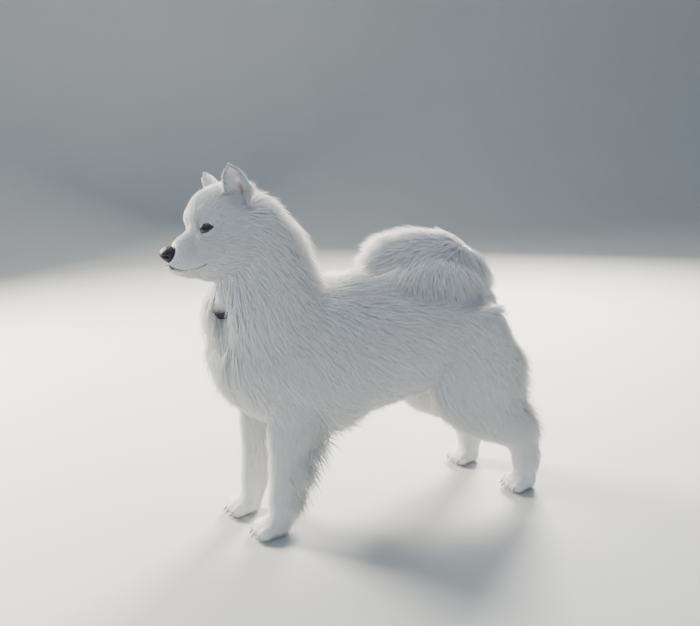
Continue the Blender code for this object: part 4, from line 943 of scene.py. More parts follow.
def head_matrix():
    """From the head's own frame (forward, to its left, up) to the body's."""
    forward = Vector((-math.cos(HEAD_TURN) * math.cos(HEAD_NOD),
                      -math.sin(HEAD_TURN) * math.cos(HEAD_NOD), -math.sin(HEAD_NOD)))
    left = UPWARD.cross(forward).normalized()
    turn = Matrix((forward, left, forward.cross(left))).transposed().to_4x4()
    return Matrix.Translation(HEAD_CENTRE) @ turn @ Matrix.Rotation(HEAD_ROLL, 4, "X")


def moved(points, matrix):
    """Points carried by a matrix."""
    array = np.array(matrix)
    return np.asarray(points) @ array[:3, :3].T + array[:3, 3]


def turned(vectors, matrix):
    """Directions turned by a matrix."""
    return np.asarray(vectors) @ np.array(matrix)[:3, :3].T


def mirrored(point, mirror):
    """The point itself for mirror 1, and its mirror image for -1."""
    return Vector((point[0], point[1] * mirror, point[2]))


def limb(table, shift, out, steps, count):
    """A limb's shell with sections square to its middle line in its own upright plane."""
    rows = smooth_rows(table, steps)
    rings = []
    for i, (x, z, front, back, half) in enumerate(rows):
        above, below = rows[max(i - 1, 0)], rows[min(i + 1, len(rows) - 1)]
        along = Vector((below[0] - above[0], 0, below[1] - above[1])).normalized()
        forward = Vector((along.z, 0, -along.x))
        rings.append(section(Vector((x + shift, out, z)), ACROSS, forward, half, front, back,
                             (2.1, 2.1), count))
    return loft(rings)


def paw(shift, out, heel_x):
    """The shells of one paw: its pad and its toes."""
    shells = [ball(Vector((heel_x + shift - PAD_AHEAD, out, PAD_HEIGHT)), PAD_SIZES, 32, 16)]
    for centre in toe_centres(shift, out, heel_x):
        shells.append(ball(centre, TOE_SIZES, 24, 14))
    return shells


def toe_centres(shift, out, heel_x):
    """The middles of one paw's toes, the inner ones further ahead."""
    centres = []
    for toe in range(TOES):
        spread = (toe - (TOES - 1) / 2) / (TOES - 1)
        reach = TOE_REACH - TOE_ARC * spread * spread
        centres.append(Vector((heel_x + shift - reach, out + spread * PAW_WIDTH * TOE_SPREAD,
                               TOE_HEIGHT)))
    return centres


def paws():
    """Shift, place out and heel of each of the four paws."""
    return [(places[side][0], places[side][1] * SIDES[side], heel)
            for places, heel in ((FORE_PAW, FORE_HEEL), (HIND_PAW, HIND_HEEL)) for side in SIDES]


def trunk_shell():
    """The trunk through its sections."""
    rings = []
    for x, top, bottom, half, square in smooth_rows(TRUNK, 4):
        height = (top - bottom) / 2
        rings.append(section(Vector((x, 0, bottom + height)), ACROSS, UPWARD, half, height, height,
                             (square, square), 64))
    return loft(rings)


def tail_shell():
    """The tail's core, round at its root and wider along the back."""
    rows = smooth_rows(TAIL, 6)
    rings = []
    for i, (x, y, z, radius) in enumerate(rows):
        above, below = rows[max(i - 1, 0)], rows[min(i + 1, len(rows) - 1)]
        along = (Vector(below[:3]) - Vector(above[:3])).normalized()
        side = along.cross(UPWARD if abs(along.z) < 0.9 else Vector((1, 0, 0))).normalized()
        if side.y < 0:
            side = -side
        spread = radius * (1 + (TAIL_SPREAD - 1) * min(1.0, i / 15))
        rings.append(section(Vector((x, y, z)), side, side.cross(along), spread, radius, radius,
                             (2, 2), 32))
    return loft(rings)


def body_shells():
    """Trunk, neck, fillings, tail, legs and paws."""
    shells = [trunk_shell(), limb(NECK, 0, 0, 5, 56), ball(*NAPE, 40, 24), ball(*TAIL_BED, 56, 32),
              ball(*RUMP_BED, 40, 24), tail_shell()]
    for side, sign in SIDES.items():
        shift, out = FORE_PAW[side]
        shells.append(limb(FORE_LEG, shift, out * sign, 4, 40))
        shift, out = HIND_PAW[side]
        table = [(x + shift * min(1.0, max(0.0, (0.36 - z) / 0.22)), z, front, back, half)
                 for x, z, front, back, half in HIND_LEG]
        points, faces = limb(table, 0, out * sign, 4, 40)
        high = np.clip((points[:, 2] - 0.15) / 0.25, 0, 1)
        points[:, 1] -= THIGH_TUCK * sign * high
        shells.append((points, faces))
    for place in paws():
        shells += paw(*place)
    return shells


def eye_axes(mirror):
    """Out of the eye, along its opening towards the ear, and across the opening."""
    out = Vector((math.cos(EYE_TURN), math.sin(EYE_TURN) * mirror, 0.10)).normalized()
    along = UPWARD.cross(out).normalized() * mirror
    up = (out.cross(along) * -mirror).normalized()
    if up.z < 0:
        up = -up
    tilted = (along * math.cos(EYE_TILT) + up * math.sin(EYE_TILT)).normalized()
    across = (up * math.cos(EYE_TILT) - along * math.sin(EYE_TILT)).normalized()
    return out, tilted, across


def shaped(points):
    """Points of the head after every swelling and hollow on both sides."""
    result = points.copy()
    for place, reach, push in HEAD_SHAPING:
        for mirror in (1, -1):
            away = np.linalg.norm(points - np.array(mirrored(place, mirror)), axis=1)
            result += np.outer(bell(away, reach), mirrored(push, mirror))
    return result


def bare_skull():
    """The head's outer shell in its own frame, before the coat's depth is taken off it."""
    rings = []
    for forward, top, wide, bottom, half, over, under in smooth_rows(HEAD, HEAD_STEPS):
        rings.append(section(Vector((forward, 0, wide)), ACROSS, UPWARD, max(half, 0.004),
                             max(top - wide, 0.003), max(wide - bottom, 0.003), (over, under),
                             HEAD_AROUND))
    points, faces = loft(rings)
    return shaped(points), faces


def guide(places, table):
    """Lie, reach and length of the hair and depth of the skin at places, from the nearest rows."""
    where = np.array([row[0] for row in table])
    rows = np.array([[*row[1], *row[2:]] for row in table])
    out = np.abs(places[:, 1])
    near = np.column_stack((places[:, 0], out, places[:, 2]))
    weight = 1 / (((near[:, None, :] - where[None]) ** 2).sum(axis=2) + 2e-5) ** 2
    mixed = weight @ rows / weight.sum(axis=1)[:, None]
    lie = mixed[:, :3]
    lie[:, 1] *= np.where(places[:, 1] < 0, -1, 1)
    return lie / np.linalg.norm(lie, axis=1)[:, None], mixed[:, 3], mixed[:, 4], mixed[:, 5]


def eye_measure(points, centre, mirror):
    """How far points are from the eye's middle, and their place in its opening (1 at the rim)."""
    out, along, across = (np.array(axis) for axis in eye_axes(mirror))
    away = points - centre
    x, y = away @ along / LID_HALF_LENGTH, np.abs(away @ across) / LID_HALF_HEIGHT
    opening = np.sqrt(x * x + y ** (2 / LID_CURVE))
    opening[away @ out < 0] = 9.0
    return away, opening


def set_lids(points, centre, mirror):
    """Draws the skin over the eyeball as two lids and sinks it behind the eye in the opening."""
    away, opening = eye_measure(points, centre, mirror)
    distance = np.linalg.norm(away, axis=1)[:, None]
    direction = away / distance
    lid = EYE_RADIUS + LID_THICKNESS + LID_SWELL * bell(opening, 0.35, 1.35)
    crease = LID_CREASE * bell(opening, 0.22, 2.0)
    rim = centre + direction * (lid - crease)[:, None]
    hold = (1 - smoothstep(opening, 1.35, 2.7))[:, None]
    result = points + (rim - points) * hold
    hidden = (1 - smoothstep(opening, 0.90, 1.0))[:, None]
    behind = centre + direction * (EYE_RADIUS - LID_SINK)
    return result + (behind - result) * hidden


def path_distance(points, path):
    """How far points are from a line of places."""
    best = np.full(len(points), 9.0)
    for start, end in zip(path, path[1:]):
        start, end = np.array(start), np.array(end)
        span = end - start
        t = np.clip((points - start) @ span / (span @ span), 0, 1)
        best = np.minimum(best, np.linalg.norm(points - start - np.outer(t, span), axis=1))
    return best


def mouth_paths(tree):
    """The mouth's line laid on the skin, one path for each side."""
    paths = {}
    for mirror in (1, -1):
        path = []
        for row in smooth_rows(MOUTH, 4):
            near, normal, _, _ = tree.find_nearest(mirrored(row, mirror))
            path.append((near, normal))
        paths[mirror] = path[:round(MOUTH_SHOWN * len(path))]
    return paths


def ear_axes(mirror):
    """Up the ear, out of its cup, and across it, for the ear before it is mirrored."""
    along = (EAR_TIPS[mirror] - EAR_BASE).normalized()
    facing = Vector((math.cos(EAR_FACING), math.sin(EAR_FACING), 0.05))
    facing = (facing - along * facing.dot(along)).normalized()
    return along, facing, along.cross(facing).normalized()


def ear_shell(mirror):
    """A cupped leaf with a rounded tip."""
    along, facing, side = ear_axes(mirror)
    length = (EAR_TIPS[mirror] - EAR_BASE).length * EAR_TRIM
    rings = []
    for i in range(EAR_ROWS + 1):
        v = -EAR_SINK + (1 + EAR_SINK) * math.sin(1.35 * i / EAR_ROWS) / math.sin(1.35)
        top = max(v, 0.0)
        width = EAR_HALF_WIDTH * (1 - 0.30 * top) * math.sqrt(max(1 - top ** 6, 0.03)) - 0.0015
        cup = EAR_CUP * (1 - top) ** 0.8
        ring = []
        steps = [2 * j / EAR_COLUMNS - 1 for j in range(EAR_COLUMNS + 1)]
        for face, columns in ((1, steps), (-1, steps[::-1])):
            for u in columns:
                reach = width * (1 - EAR_TURN_IN * (1 - smoothstep(v, 0.0, 0.50)) * (u > 0))
                round_tip = -0.004 * u * u * top - 0.0015 * top
                middle = (EAR_BASE + along * (v * length + round_tip) + side * u * reach
                          - facing * cup * (1 - u * u))
                half = EAR_THICKNESS * (1 - 0.45 * top) * (1 - 0.75 * u * u) / 2
                ring.append(mirrored(middle + facing * half * face, mirror))
        rings.append(ring)
    return loft([np.array(ring) for ring in rings])


def union(obj, others):
    """Joins closed objects in one by a Boolean and removes the others."""
    group = bpy.data.collections.new("operands")
    bpy.context.scene.collection.children.link(group)
    for other in others:
        group.objects.link(other)
        bpy.context.scene.collection.objects.unlink(other)
    modifier = obj.modifiers.new("join", "BOOLEAN")
    modifier.operation = "UNION"
    modifier.solver = "MANIFOLD"
    modifier.operand_type = "COLLECTION"
    modifier.collection = group
    applied(obj)
    for other in others:
        bpy.data.objects.remove(other)
    bpy.data.collections.remove(group)


def unwrap(obj, name):
    """An unwrap of the object's own shape in islands."""
    obj.data.uv_layers.new(name=name)
    bpy.context.view_layer.objects.active = obj
    bpy.ops.object.select_all(action="DESELECT")
    obj.select_set(True)
    bpy.ops.object.mode_set(mode="EDIT")
    bpy.ops.mesh.select_all(action="SELECT")
    bpy.ops.uv.smart_project(angle_limit=math.radians(66), island_margin=0.002)
    bpy.ops.object.mode_set(mode="OBJECT")


def is_tail(points):
    """Which points lie on the tail or on the filling under it."""
    x, z = points[:, 0], points[:, 2]
    return (z > 0.497 + np.maximum(0.0, 0.47 - x) * 0.1) & (x > 0.20)


def region_of(points, parts, forward):
    """The coat region of each point of the skin: one name each."""
    x, y, z = points.T
    region = np.where(y < 0, "flank_left", "flank_right").astype("<U12")
    region[z > 0.455 - 0.04 * (x < 0.1)] = "back"
    region[(x > 0.395)] = "rump"
    region[(x < 0.065) & (z < 0.47)] = "chest"
    region[(z - 0.372) > (x + 0.170) * 0.576 + 0.02] = "neck"
    region[is_tail(points)] = "tail"
    region[(z < 0.205) & (x < 0.25)] = "leg"
    region[(z < 0.185) & (x > 0.30)] = "leg"
    region[parts == 1] = "head"
    region[(parts == 1) & (forward > 0.004)] = "face"
    region[parts == 2] = "ear"
    return region


def collar_axes():
    """The ring's middle, its direction to the nape, and its axis."""
    along = (COLLAR_NAPE - COLLAR_THROAT).normalized()
    return (COLLAR_THROAT + COLLAR_NAPE) / 2, along, along.cross(ACROSS).normalized()


def throat_gap(points):
    """1 at the left of the throat where the strap shows, and how far points are above it."""
    centre, _, axis = collar_axes()
    above = (points - np.array(centre)) @ np.array(axis)
    ahead = 1 - smoothstep(points[:, 0], -0.068, -0.052)
    side = smoothstep(-points[:, 1], 0.014, 0.024) * (1 - smoothstep(-points[:, 1], 0.056, 0.070))
    return ahead * side, above


def build_body():
    """The trunk, limbs and tail in one, taken in by the depth of the coat."""
    body = make_piece("skin", body_shells())
    body.modifiers.new("skin_over", "REMESH").voxel_size = BODY_VOXEL
    smooth = body.modifiers.new("soften", "SMOOTH")
    smooth.iterations = BODY_SMOOTHING
    applied(body)
    points, normals = mesh_points(body.data), mesh_normals(body.data)
    depth = np.where(is_tail(points), guide(points, TAIL_COAT)[3], guide(points, BODY_COAT)[3])
    points -= normals * depth[:, None]
    points[:, 2] = np.maximum(points[:, 2], SOLE)
    set_points(body.data, points)
    return body


def build_head():
    """The head with its mouth and lids, in the body's frame."""
    points, faces = bare_skull()
    outer = make_mesh("outer", [(points, faces)])
    tree = tree_of(outer)
    eyes = {}
    for mirror in (1, -1):
        out = eye_axes(mirror)[0]
        found = tree.ray_cast(mirrored(EYE_AIM, mirror) + out * 0.05, -out)[0]
        eyes[mirror] = found - out * (EYE_RADIUS - EYE_STAND)
    paths = mouth_paths(tree)
    WORK.update(muzzle=tree, eyes=eyes, paths=paths)
    points, normals = mesh_points(outer), mesh_normals(outer)
    mouth = np.minimum(path_distance(points, [p for p, _ in paths[1]]),
                       path_distance(points, [p for p, _ in paths[-1]]))
    points = points - normals * guide(points, HEAD_COAT)[3][:, None]
    low = smoothstep(points[:, 2], -0.100, -0.066)
    groove = MOUTH_DEPTH * bell(mouth, MOUTH_WIDTH)
    points -= normals * groove[:, None]
    lips = LIP_SWELL * bell(mouth, LIP_WIDTH, LIP_PLACE) * (0.4 + 0.6 * low)
    points += normals * lips[:, None]
    for mirror in (1, -1):
        points = set_lids(points, np.array(eyes[mirror]), mirror)
    bpy.data.meshes.remove(outer)
    return make_piece("head_skin", [carried((points, faces), head_matrix())])


def build_skin():
    """The one skin of the whole dog, with the lie and depth of its coat stored on its points."""
    body, head = build_body(), build_head()
    ears = []
    for mirror in (1, -1):
        ears.append(make_piece("ear_skin", [carried(ear_shell(mirror), head_matrix())]))
    head_tree = tree_of(head.data)
    ear_trees = [tree_of(ear.data) for ear in ears]
    union(body, [head, *ears])
    dress_skin(body.data, head_tree, ear_trees)
    return body


def parts_of(points, head_tree, ear_trees):
    """2 for points of the ears, 1 for those of the head and 0 for the rest."""
    parts = np.zeros(len(points), int)
    for i, point in enumerate(points):
        place = Vector(point)
        if place.x > 0.06 or place.z < 0.48:
            continue
        if any(tree.find_nearest(place)[3] < 1e-5 for tree in ear_trees):
            parts[i] = 2
        elif head_tree.find_nearest(place)[3] < 1e-5:
            parts[i] = 1
    return parts


def guided_fields(mesh, points, local, parts, tail):
    """Lie, reach and length of the hair all over, softened from region to region."""
    lie, reach, span, _ = guide(points, BODY_COAT)
    head_lie, head_reach, head_span, _ = guide(local, HEAD_COAT)
    share = np.where(parts > 0, 1.0, 0.0)
    lie = lie + (turned(head_lie, head_matrix()) - lie) * share[:, None]
    reach = reach + (head_reach - reach) * share
    span = span + (head_span - span) * share
    lie[tail], reach[tail], span[tail], _ = guide(points[tail] * (1, TAIL_SQUEEZE, 1), TAIL_COAT)
    fields = soften(mesh, np.column_stack((lie, reach, span)), FIELD_SOFTENING)
    return fields[:, :3], fields[:, 3], fields[:, 4]


def dress_eye(coat, local, face, mirror):
    """Short hair that parts round one eye, and its dark rim."""
    away, opening = eye_measure(local, np.array(WORK["eyes"][mirror]), mirror)
    near = bell(np.maximum(opening, 1.0), 0.9, 1.0) * face
    radial = turned(away / np.linalg.norm(away, axis=1)[:, None], head_matrix())
    coat.lie += radial * (near * 1.4)[:, None]
    coat.span *= 1 - 0.55 * near
    coat.reach *= 1 - 0.45 * near
    coat.dark = np.maximum(coat.dark, (1 - smoothstep(opening, 1.18, 1.55)) * face)
    coat.keep *= np.where(face, smoothstep(opening, 1.12, 1.35), 1.0)


def dress_lips(coat, local, face, mirror):
    """The dark line of one side of the mouth, bare and widest in front."""
    distance = path_distance(local, [p for p, _ in WORK["paths"][mirror]])
    front = smoothstep(local[:, 0], 0.060, 0.092)
    lips = (1 - smoothstep(distance, 0.0010 + 0.0018 * front, 0.0032 + 0.0030 * front)) * face
    lips *= 0.55 + 0.45 * front
    coat.dark = np.maximum(coat.dark, lips)
    bare = smoothstep(distance, 0.0002 + 0.0014 * front, 0.0014 + 0.0026 * front)
    coat.keep *= np.where(face, bare, 1.0)


def dress_whiskers(coat, local, face, mirror):
    """Small dark beds round the roots of one side's whiskers."""
    for spot in whisker_roots(mirror):
        bed = np.linalg.norm(local - np.array(spot), axis=1)
        coat.dark = np.maximum(coat.dark, 0.8 * (1 - smoothstep(bed, 0.0012, 0.0024)) * face)
        coat.keep *= smoothstep(bed, 0.0014, 0.0026)


def dress_ear(coat, local, local_normals, ears, mirror):
    """Hair up one ear, longer round its base, and the pink slit in its cup."""
    ear = ears & (local[:, 1] * mirror > 0)
    along, front, side = (np.array(mirrored(axis, mirror)) for axis in ear_axes(mirror))
    inside = smoothstep(local_normals @ front, 0.10, 0.55) * ear
    place = local - np.array(mirrored(EAR_BASE, mirror))
    height, aside = place @ along, place @ side
    slit = bell(aside, EAR_SLIT[1], EAR_SLIT[0])
    slit *= smoothstep(height, 0.010, 0.020) * (1 - smoothstep(height, 0.045, 0.065))
    coat.pink = np.maximum(coat.pink, inside * slit)
    fan = np.outer(aside / EAR_HALF_WIDTH * smoothstep(height, 0.045, 0.085), side)
    coat.lie[ear] = turned(along + fan, head_matrix())[ear]
    cupped, tip = inside[ear], smoothstep(height[ear], 0.050, 0.082)
    coat.reach[ear] = (EAR_BACK[0] * (1 - cupped) + EAR_CUPPED[0] * cupped) * (1 - 0.5 * tip)
    coat.span[ear] = (EAR_BACK[1] * (1 - cupped) + EAR_CUPPED[1] * cupped) * (1 - 0.5 * tip)
    low = 1 - smoothstep(height[ear], 0.006, 0.045)
    coat.reach[ear] += low * (0.010 - 0.006 * cupped)
    coat.span[ear] += low * (0.026 - 0.018 * cupped)
    coat.keep[ear] *= 1 - smoothstep(coat.pink[ear], 0.15, 0.55)


def dress_nose(coat, local, face):
    """Bare dark skin round the nose leather."""
    halves = np.array(NOSE_SIZE) + NOSE_GROWTH + 0.0006
    nose = np.sqrt((((local - np.array(NOSE_CENTRE)) / halves) ** 2).sum(axis=1))
    coat.keep *= np.where(face, smoothstep(nose, 1.0, 1.10), 1.0)
    coat.dark = np.maximum(coat.dark, (1 - smoothstep(nose, 1.02, 1.18)) * face)


def dress_throat(coat, shown, above):
    """Short hair where the strap shows; how far each point lies under the strap is returned."""
    under, over = smoothstep(above, -0.006, -0.003), 1 - smoothstep(above, 0.008, 0.014)
    coat.keep *= 1 - shown * under * over
    limit = np.where(above > 0, np.clip(above - 0.002, 0.010, 1.0), 1.0)
    coat.span += (np.minimum(coat.span, limit) - coat.span) * shown
    coat.reach += (np.minimum(coat.reach, 0.003 + limit * 0.25) - coat.reach) * shown
    under_strap = shown * smoothstep(above, -0.045, -0.020) * (above < 0)
    coat.reach *= 1 - 0.40 * under_strap
    return under_strap


def dress_skin(mesh, head_tree, ear_trees):
    """Stores the fields that the coat grows from, and the bare and pink places."""
    points, normals = mesh_points(mesh), mesh_normals(mesh)
    parts = parts_of(points, head_tree, ear_trees)
    face, ears = parts == 1, parts == 2
    inverse = head_matrix().inverted()
    local, local_normals = moved(points, inverse), turned(normals, inverse)
    region = region_of(points, parts, local[:, 0])
    tail = region == "tail"
    lie, reach, span = guided_fields(mesh, points, local, parts, tail)
    off = soften(mesh, normals, FIELD_SOFTENING // 3)
    off[ears] = soften(mesh, normals, 1)[ears]
    coat = SimpleNamespace(lie=lie, reach=reach, span=span, dark=np.zeros(len(points)),
                           pink=np.zeros(len(points)), keep=np.ones(len(points)))
    for mirror in (1, -1):
        dress_eye(coat, local, face, mirror)
        dress_lips(coat, local, face, mirror)
        dress_whiskers(coat, local, face, mirror)
        dress_ear(coat, local, local_normals, ears, mirror)
    dress_nose(coat, local, face)
    shown, above = throat_gap(points)
    under_strap = dress_throat(coat, shown, above)
    coat.keep *= smoothstep(points[:, 2], 0.0015, 0.005)
    coat.lie /= np.linalg.norm(coat.lie, axis=1)[:, None]
    cling = np.clip(1 - coat.reach / 0.060, 0.15, 0.85) * np.where(ears, 0.5, 1.0)
    drape = np.where(tail, np.abs(normals[:, 1]) ** 0.5, 0.0)
    calm = 1 - 0.92 * smoothstep(coat.reach, 0.034, 0.044)
    calm[tail] = 0.95 - 0.75 * smoothstep(points[tail, 0], 0.450, 0.485)
    hollow = smoothstep(-points[:, 0], 0.045, 0.065)
    hollow = hollow * (1 - smoothstep(np.abs(above + 0.01), 0.03, 0.06))
    for name, values in {
            "lie": coat.lie, "off": off / np.linalg.norm(off, axis=1)[:, None], "reach": coat.reach,
            "span": coat.span, "girth": GIRTH_LEAST + GIRTH_SHARE * coat.span,
            "cling": cling * (1 - 0.85 * drape), "calm": calm * (1 - 0.75 * hollow),
            "dark": coat.dark, "pink": coat.pink}.items():
        set_field(mesh, name, values)
    areas = point_areas(mesh)
    whorl = bell(np.linalg.norm(points - TAIL_WHORL, axis=1), WHORL_WIDTH)
    for name, part, count, _ in COAT_PIECES:
        wanted = (region == part) * coat.keep * (1 + FRINGE * coat.reach)
        wanted = wanted * (1 + STRAP_FILL * under_strap + WHORL_FILL * whorl)
        wanted = wanted / (coat.span + SPAN_LEAST)
        set_field(mesh, f"cover_{name}", wanted * count / max((wanted * areas).sum(), 1e-9))


def soften(mesh, fields, rounds):
    """Fields averaged over neighbouring points, so that no edge shows between two regions."""
    ends = np.empty(len(mesh.edges) * 2, np.int32)
    mesh.edges.foreach_get("vertices", ends)
    first, second = ends.reshape(-1, 2).T
    here, there = np.concatenate((first, second)), np.concatenate((second, first))
    count = len(fields)
    degree = np.bincount(here, minlength=count)[:, None]
    for _ in range(rounds):
        total = np.column_stack([np.bincount(here, weights=column[there], minlength=count)
                                 for column in fields.T])
        fields = (fields + total / degree) / 2
    return fields


def point_areas(mesh):
    """The share of the surface that belongs to each point."""
    areas = np.zeros(len(mesh.vertices))
    mesh.calc_loop_triangles()
    for tri in mesh.loop_triangles:
        for v in tri.vertices:
            areas[v] += tri.area / 3
    return areas


def coat_inputs(interface):
    """The named inputs of the coat's tree, and its output."""
    interface.new_socket("Geometry", in_out="INPUT", socket_type="NodeSocketGeometry")
    for name, kind, default in (
            ("Tufts", "Float", 1.0), ("Cover", "String", ""), ("Segments", "Int", TUFT_STEPS),
            ("Length", "Float", 1.0), ("Width", "Float", 1.0), ("Thickness", "Float", 0.42),
            ("Root depth", "Float", SINK), ("Sway", "Float", 0.75), ("Lock size", "Float", 0.022),
            ("Gather", "Float", 0.42), ("Grain", "Float", 34.0), ("Softest", "Float", 0.85),
            ("Seed", "Int", 1), ("Material", "Material", None)):
        socket = interface.new_socket(name, in_out="INPUT", socket_type=f"NodeSocket{kind}")
        if default is not None:
            socket.default_value = default
    interface.new_socket("Geometry", in_out="OUTPUT", socket_type="NodeSocketGeometry")


def tuft_cones(bench, given, position):
    """A thin cone for each tuft, which knows its root, its chances and its own shape."""
    cover = bench.field(given["Cover"])
    points = bench.add("GeometryNodeDistributePointsOnFaces", {"distribute_method": "RANDOM"},
                       {"Mesh": given["Geometry"], "Density": cover * given["Tufts"],
                        "Seed": given["Seed"]})
    points = store(bench, points, "root", position, VECTOR)
    luck = bench.add("FunctionNodeRandomValue", {"data_type": VECTOR}, {"Seed": given["Seed"]})
    points = store(bench, points, "chance", luck, VECTOR)
    cone = bench.add("GeometryNodeMeshCone", {"fill_type": "NGON"},
                     {"Vertices": TUFT_SIDES, "Side Segments": given["Segments"], "Radius Top": 0.0,
                      "Radius Bottom": 1.0, "Depth": 1.0})
    cone = store(bench, cone, "shape", position, VECTOR)
    tufts = bench.add("GeometryNodeInstanceOnPoints", None, {"Points": points, "Instance": cone})
    return bench.add("GeometryNodeRealizeInstances", None, {"Geometry": tufts})


def nearest(bench, mesh, value, place):
    """A field of a mesh at the spot of its surface that is nearest to a place."""
    return bench.add("GeometryNodeSampleNearestSurface", {"data_type": VECTOR},
                     {"Mesh": mesh, "Value": value, "Sample Position": place})


def stray(bench, place, scale, size):
    """A noise around 0 of a scale and a size."""
    return (bench.noise(place, scale) - 0.5) * size


def coat_tree():
    """The tree that grows one piece of the coat from the fields stored on the skin."""
    group = bpy.data.node_groups.new("solid_tufts", "GeometryNodeTree")
    coat_inputs(group.interface)
    bench = Bench(group)
    entry = group.nodes.new("NodeGroupInput")
    given = {socket.name: Term(bench, socket) for socket in entry.outputs if socket.name}
    position = bench.add("GeometryNodeInputPosition")
    tufts = tuft_cones(bench, given, position)
    root, lie, off = bench.field("root", VECTOR), bench.field("lie", VECTOR), bench.field("off", VECTOR)
    facing = off.unit()
    wide, thick, rise = split(bench, bench.field("shape", VECTOR))
    first, second, third = split(bench, bench.field("chance", VECTOR))

    level = (lie - facing * lie.dot(facing)).unit()
    sway = stray(bench, root, *STRAY_WIDE) + stray(bench, root, *STRAY_FINE)
    bend = (bench.noise(root + BEND_PLACE, STRAY_TIP[0]) - 0.5) * rise * STRAY_TIP[1]
    angle = (sway + (first - 0.5) * STRAY_CHANCE + bend) * given["Sway"]
    heading = (level + facing.cross(level) * angle).unit()
    length = bench.field("span") * given["Length"] * (second * LENGTH_CHANCE + LENGTH_LEAST)
    cell = bench.add("ShaderNodeTexVoronoi", {"feature": "F1"},
                     {"Vector": root, "Scale": 1.0 / given["Lock size"], "Randomness": 1.0}, "Position")
    pull = cell - root
    pull = pull - facing * pull.dot(facing)
    flat = root + heading * (length * rise) + pull * (given["Gather"] * rise ** GATHER_CURVE)

    cling = bench.field("cling")
    middle = flat.mix(nearest(bench, given["Geometry"], position, flat), cling)
    above = facing.mix(nearest(bench, given["Geometry"], off, flat), cling).unit()
    chances = (bench.noise(root, given["Grain"]) * LIFT_PLACE + third * LIFT_CHANCE
               + third ** LIFT_RARITY * LIFT_STRAY + LIFT_LEAST)
    lift = bench.field("reach") * given["Length"] * chances
    depth = given["Root depth"]
    height = (lift + depth) * (1.0 - (1.0 - rise) ** LIFT_CURVE) - depth
    girth = bench.field("girth") * given["Width"] * (rise * WIDTH_GAIN + ROOT_WIDTH)
    place = (middle + above * (height + thick * girth * given["Thickness"])
             + above.cross(heading).unit() * (wide * girth))
    place = place.compute("MAXIMUM", (-9.0, -9.0, FLOOR_GAP))
    tufts = bench.add("GeometryNodeSetPosition", None, {"Geometry": tufts, "Position": place})

    own = bench.add("GeometryNodeInputNormal")
    share = bench.field("calm") * given["Softest"]
    tufts = store(bench, tufts, "soft", (above * share + own * (1.1 - share)).unit(), VECTOR)
    tufts = bench.add("GeometryNodeSetMeshNormal", {"mode": "FREE", "domain": "POINT"},
                      {"Mesh": tufts, "Custom Normal": bench.field("soft", VECTOR)})
    patch = bench.add("ShaderNodeCombineXYZ", None, {"X": wide * PATCH * 0.5, "Y": rise * PATCH})
    tufts = store(bench, tufts, "OFBake", bench.field("unwrap", VECTOR) + patch, "FLOAT2", "CORNER")
    tufts = store(bench, tufts, "rise", rise, "FLOAT")
    tufts = store(bench, tufts, "luck", third, "FLOAT")
    tufts = bench.add("GeometryNodeSetMaterial", None,
                      {"Geometry": tufts, "Material": given["Material"]})
    leave = group.nodes.new("NodeGroupOutput")
    group.links.new(tufts.socket, leave.inputs["Geometry"])
    return group


def store(bench, geometry, name, value, kind, domain="POINT"):
    """Stores a field on a geometry under a name."""
    return bench.add("GeometryNodeStoreNamedAttribute", {"data_type": kind, "domain": domain},
                     {"Geometry": geometry, "Name": name, "Value": value})


def split(bench, vector):
    """The three parts of a vector."""
    parts = bench.add("ShaderNodeSeparateXYZ", None, {"Vector": vector}).socket.node
    return [Term(bench, socket) for socket in parts.outputs]


def drop_fields(mesh, names):
    """Removes stored fields from a mesh."""
    for name in names:
        mesh.attributes.remove(mesh.attributes[name])


def grow(name, skin, tree, values):
    """One piece of the coat as a plain mesh."""
    base = bpy.data.objects.new(name, skin.data.copy())
    bpy.context.scene.collection.objects.link(base)
    modifier = base.modifiers.new("tufts", "NODES")
    modifier.node_group = tree
    sockets = {item.name: item.identifier for item in tree.interface.items_tree
               if item.item_type == "SOCKET" and item.in_out == "INPUT"}
    for key, value in values.items():
        modifier[sockets[key]] = value
    applied(base)
    mesh = base.data
    drop_fields(mesh, [a.name for a in mesh.attributes
                       if a.name not in TUFT_FIELDS and not a.name.startswith(".")])
    mesh.polygons.foreach_set("use_smooth", [True] * len(mesh.polygons))
    mesh.update()
    return base


def tint(name, description, default):
    """A colour that the panel shows."""
    return bpy.props.FloatVectorProperty(name=name, description=description, default=default,
                                         subtype="COLOR", size=3, min=0, max=1)


def measure(name, description, default, least, most, **kind):
    """A number that the panel shows."""
    return bpy.props.FloatProperty(name=name, description=description, default=default, min=least,
                                   max=most, **kind)


class CoatSettings(bpy.types.PropertyGroup):
    """Colours and fullness of the coat."""
    cool_colour: tint("Coat colour", "Main white of the coat", (0.88, 0.89, 0.90))
    warm_colour: tint("Warm drift", "Warmer white that drifts over the body", (0.90, 0.885, 0.86))
    # A darker, cooler white painted at the roots of the tufts as the shade deep in the coat
    root_shade_colour: tint("Root colour", "Shade deep between the tufts", (0.84, 0.855, 0.88))
    length: measure("Coat length", "Length of the whole coat against life", 1.0, 0.5, 1.3,
                    subtype="FACTOR")
    width: measure("Tuft width", "Width of each tuft against its usual one", 1.0, 0.5, 2.0,
                   subtype="FACTOR")


class FaceSettings(bpy.types.PropertyGroup):
    """Colours of eyes, nose, lids and ears, and the whiskers."""
    eye_colour: tint("Iris colour", "Dark brown of the iris", (0.009, 0.005, 0.004))
    nose_colour: tint("Nose colour", "Leather of the nose", (0.018, 0.016, 0.024))
    lid_colour: tint("Lid colour", "Bare dark skin of lids and lips", (0.020, 0.018, 0.020))
    ear_colour: tint("Ear colour", "Pink skin in the cups of the ears", (0.34, 0.20, 0.18))
    whisker_length: measure("Whisker length", "Length of the longest whiskers", 0.038, 0.01, 0.08,
                            unit="LENGTH")


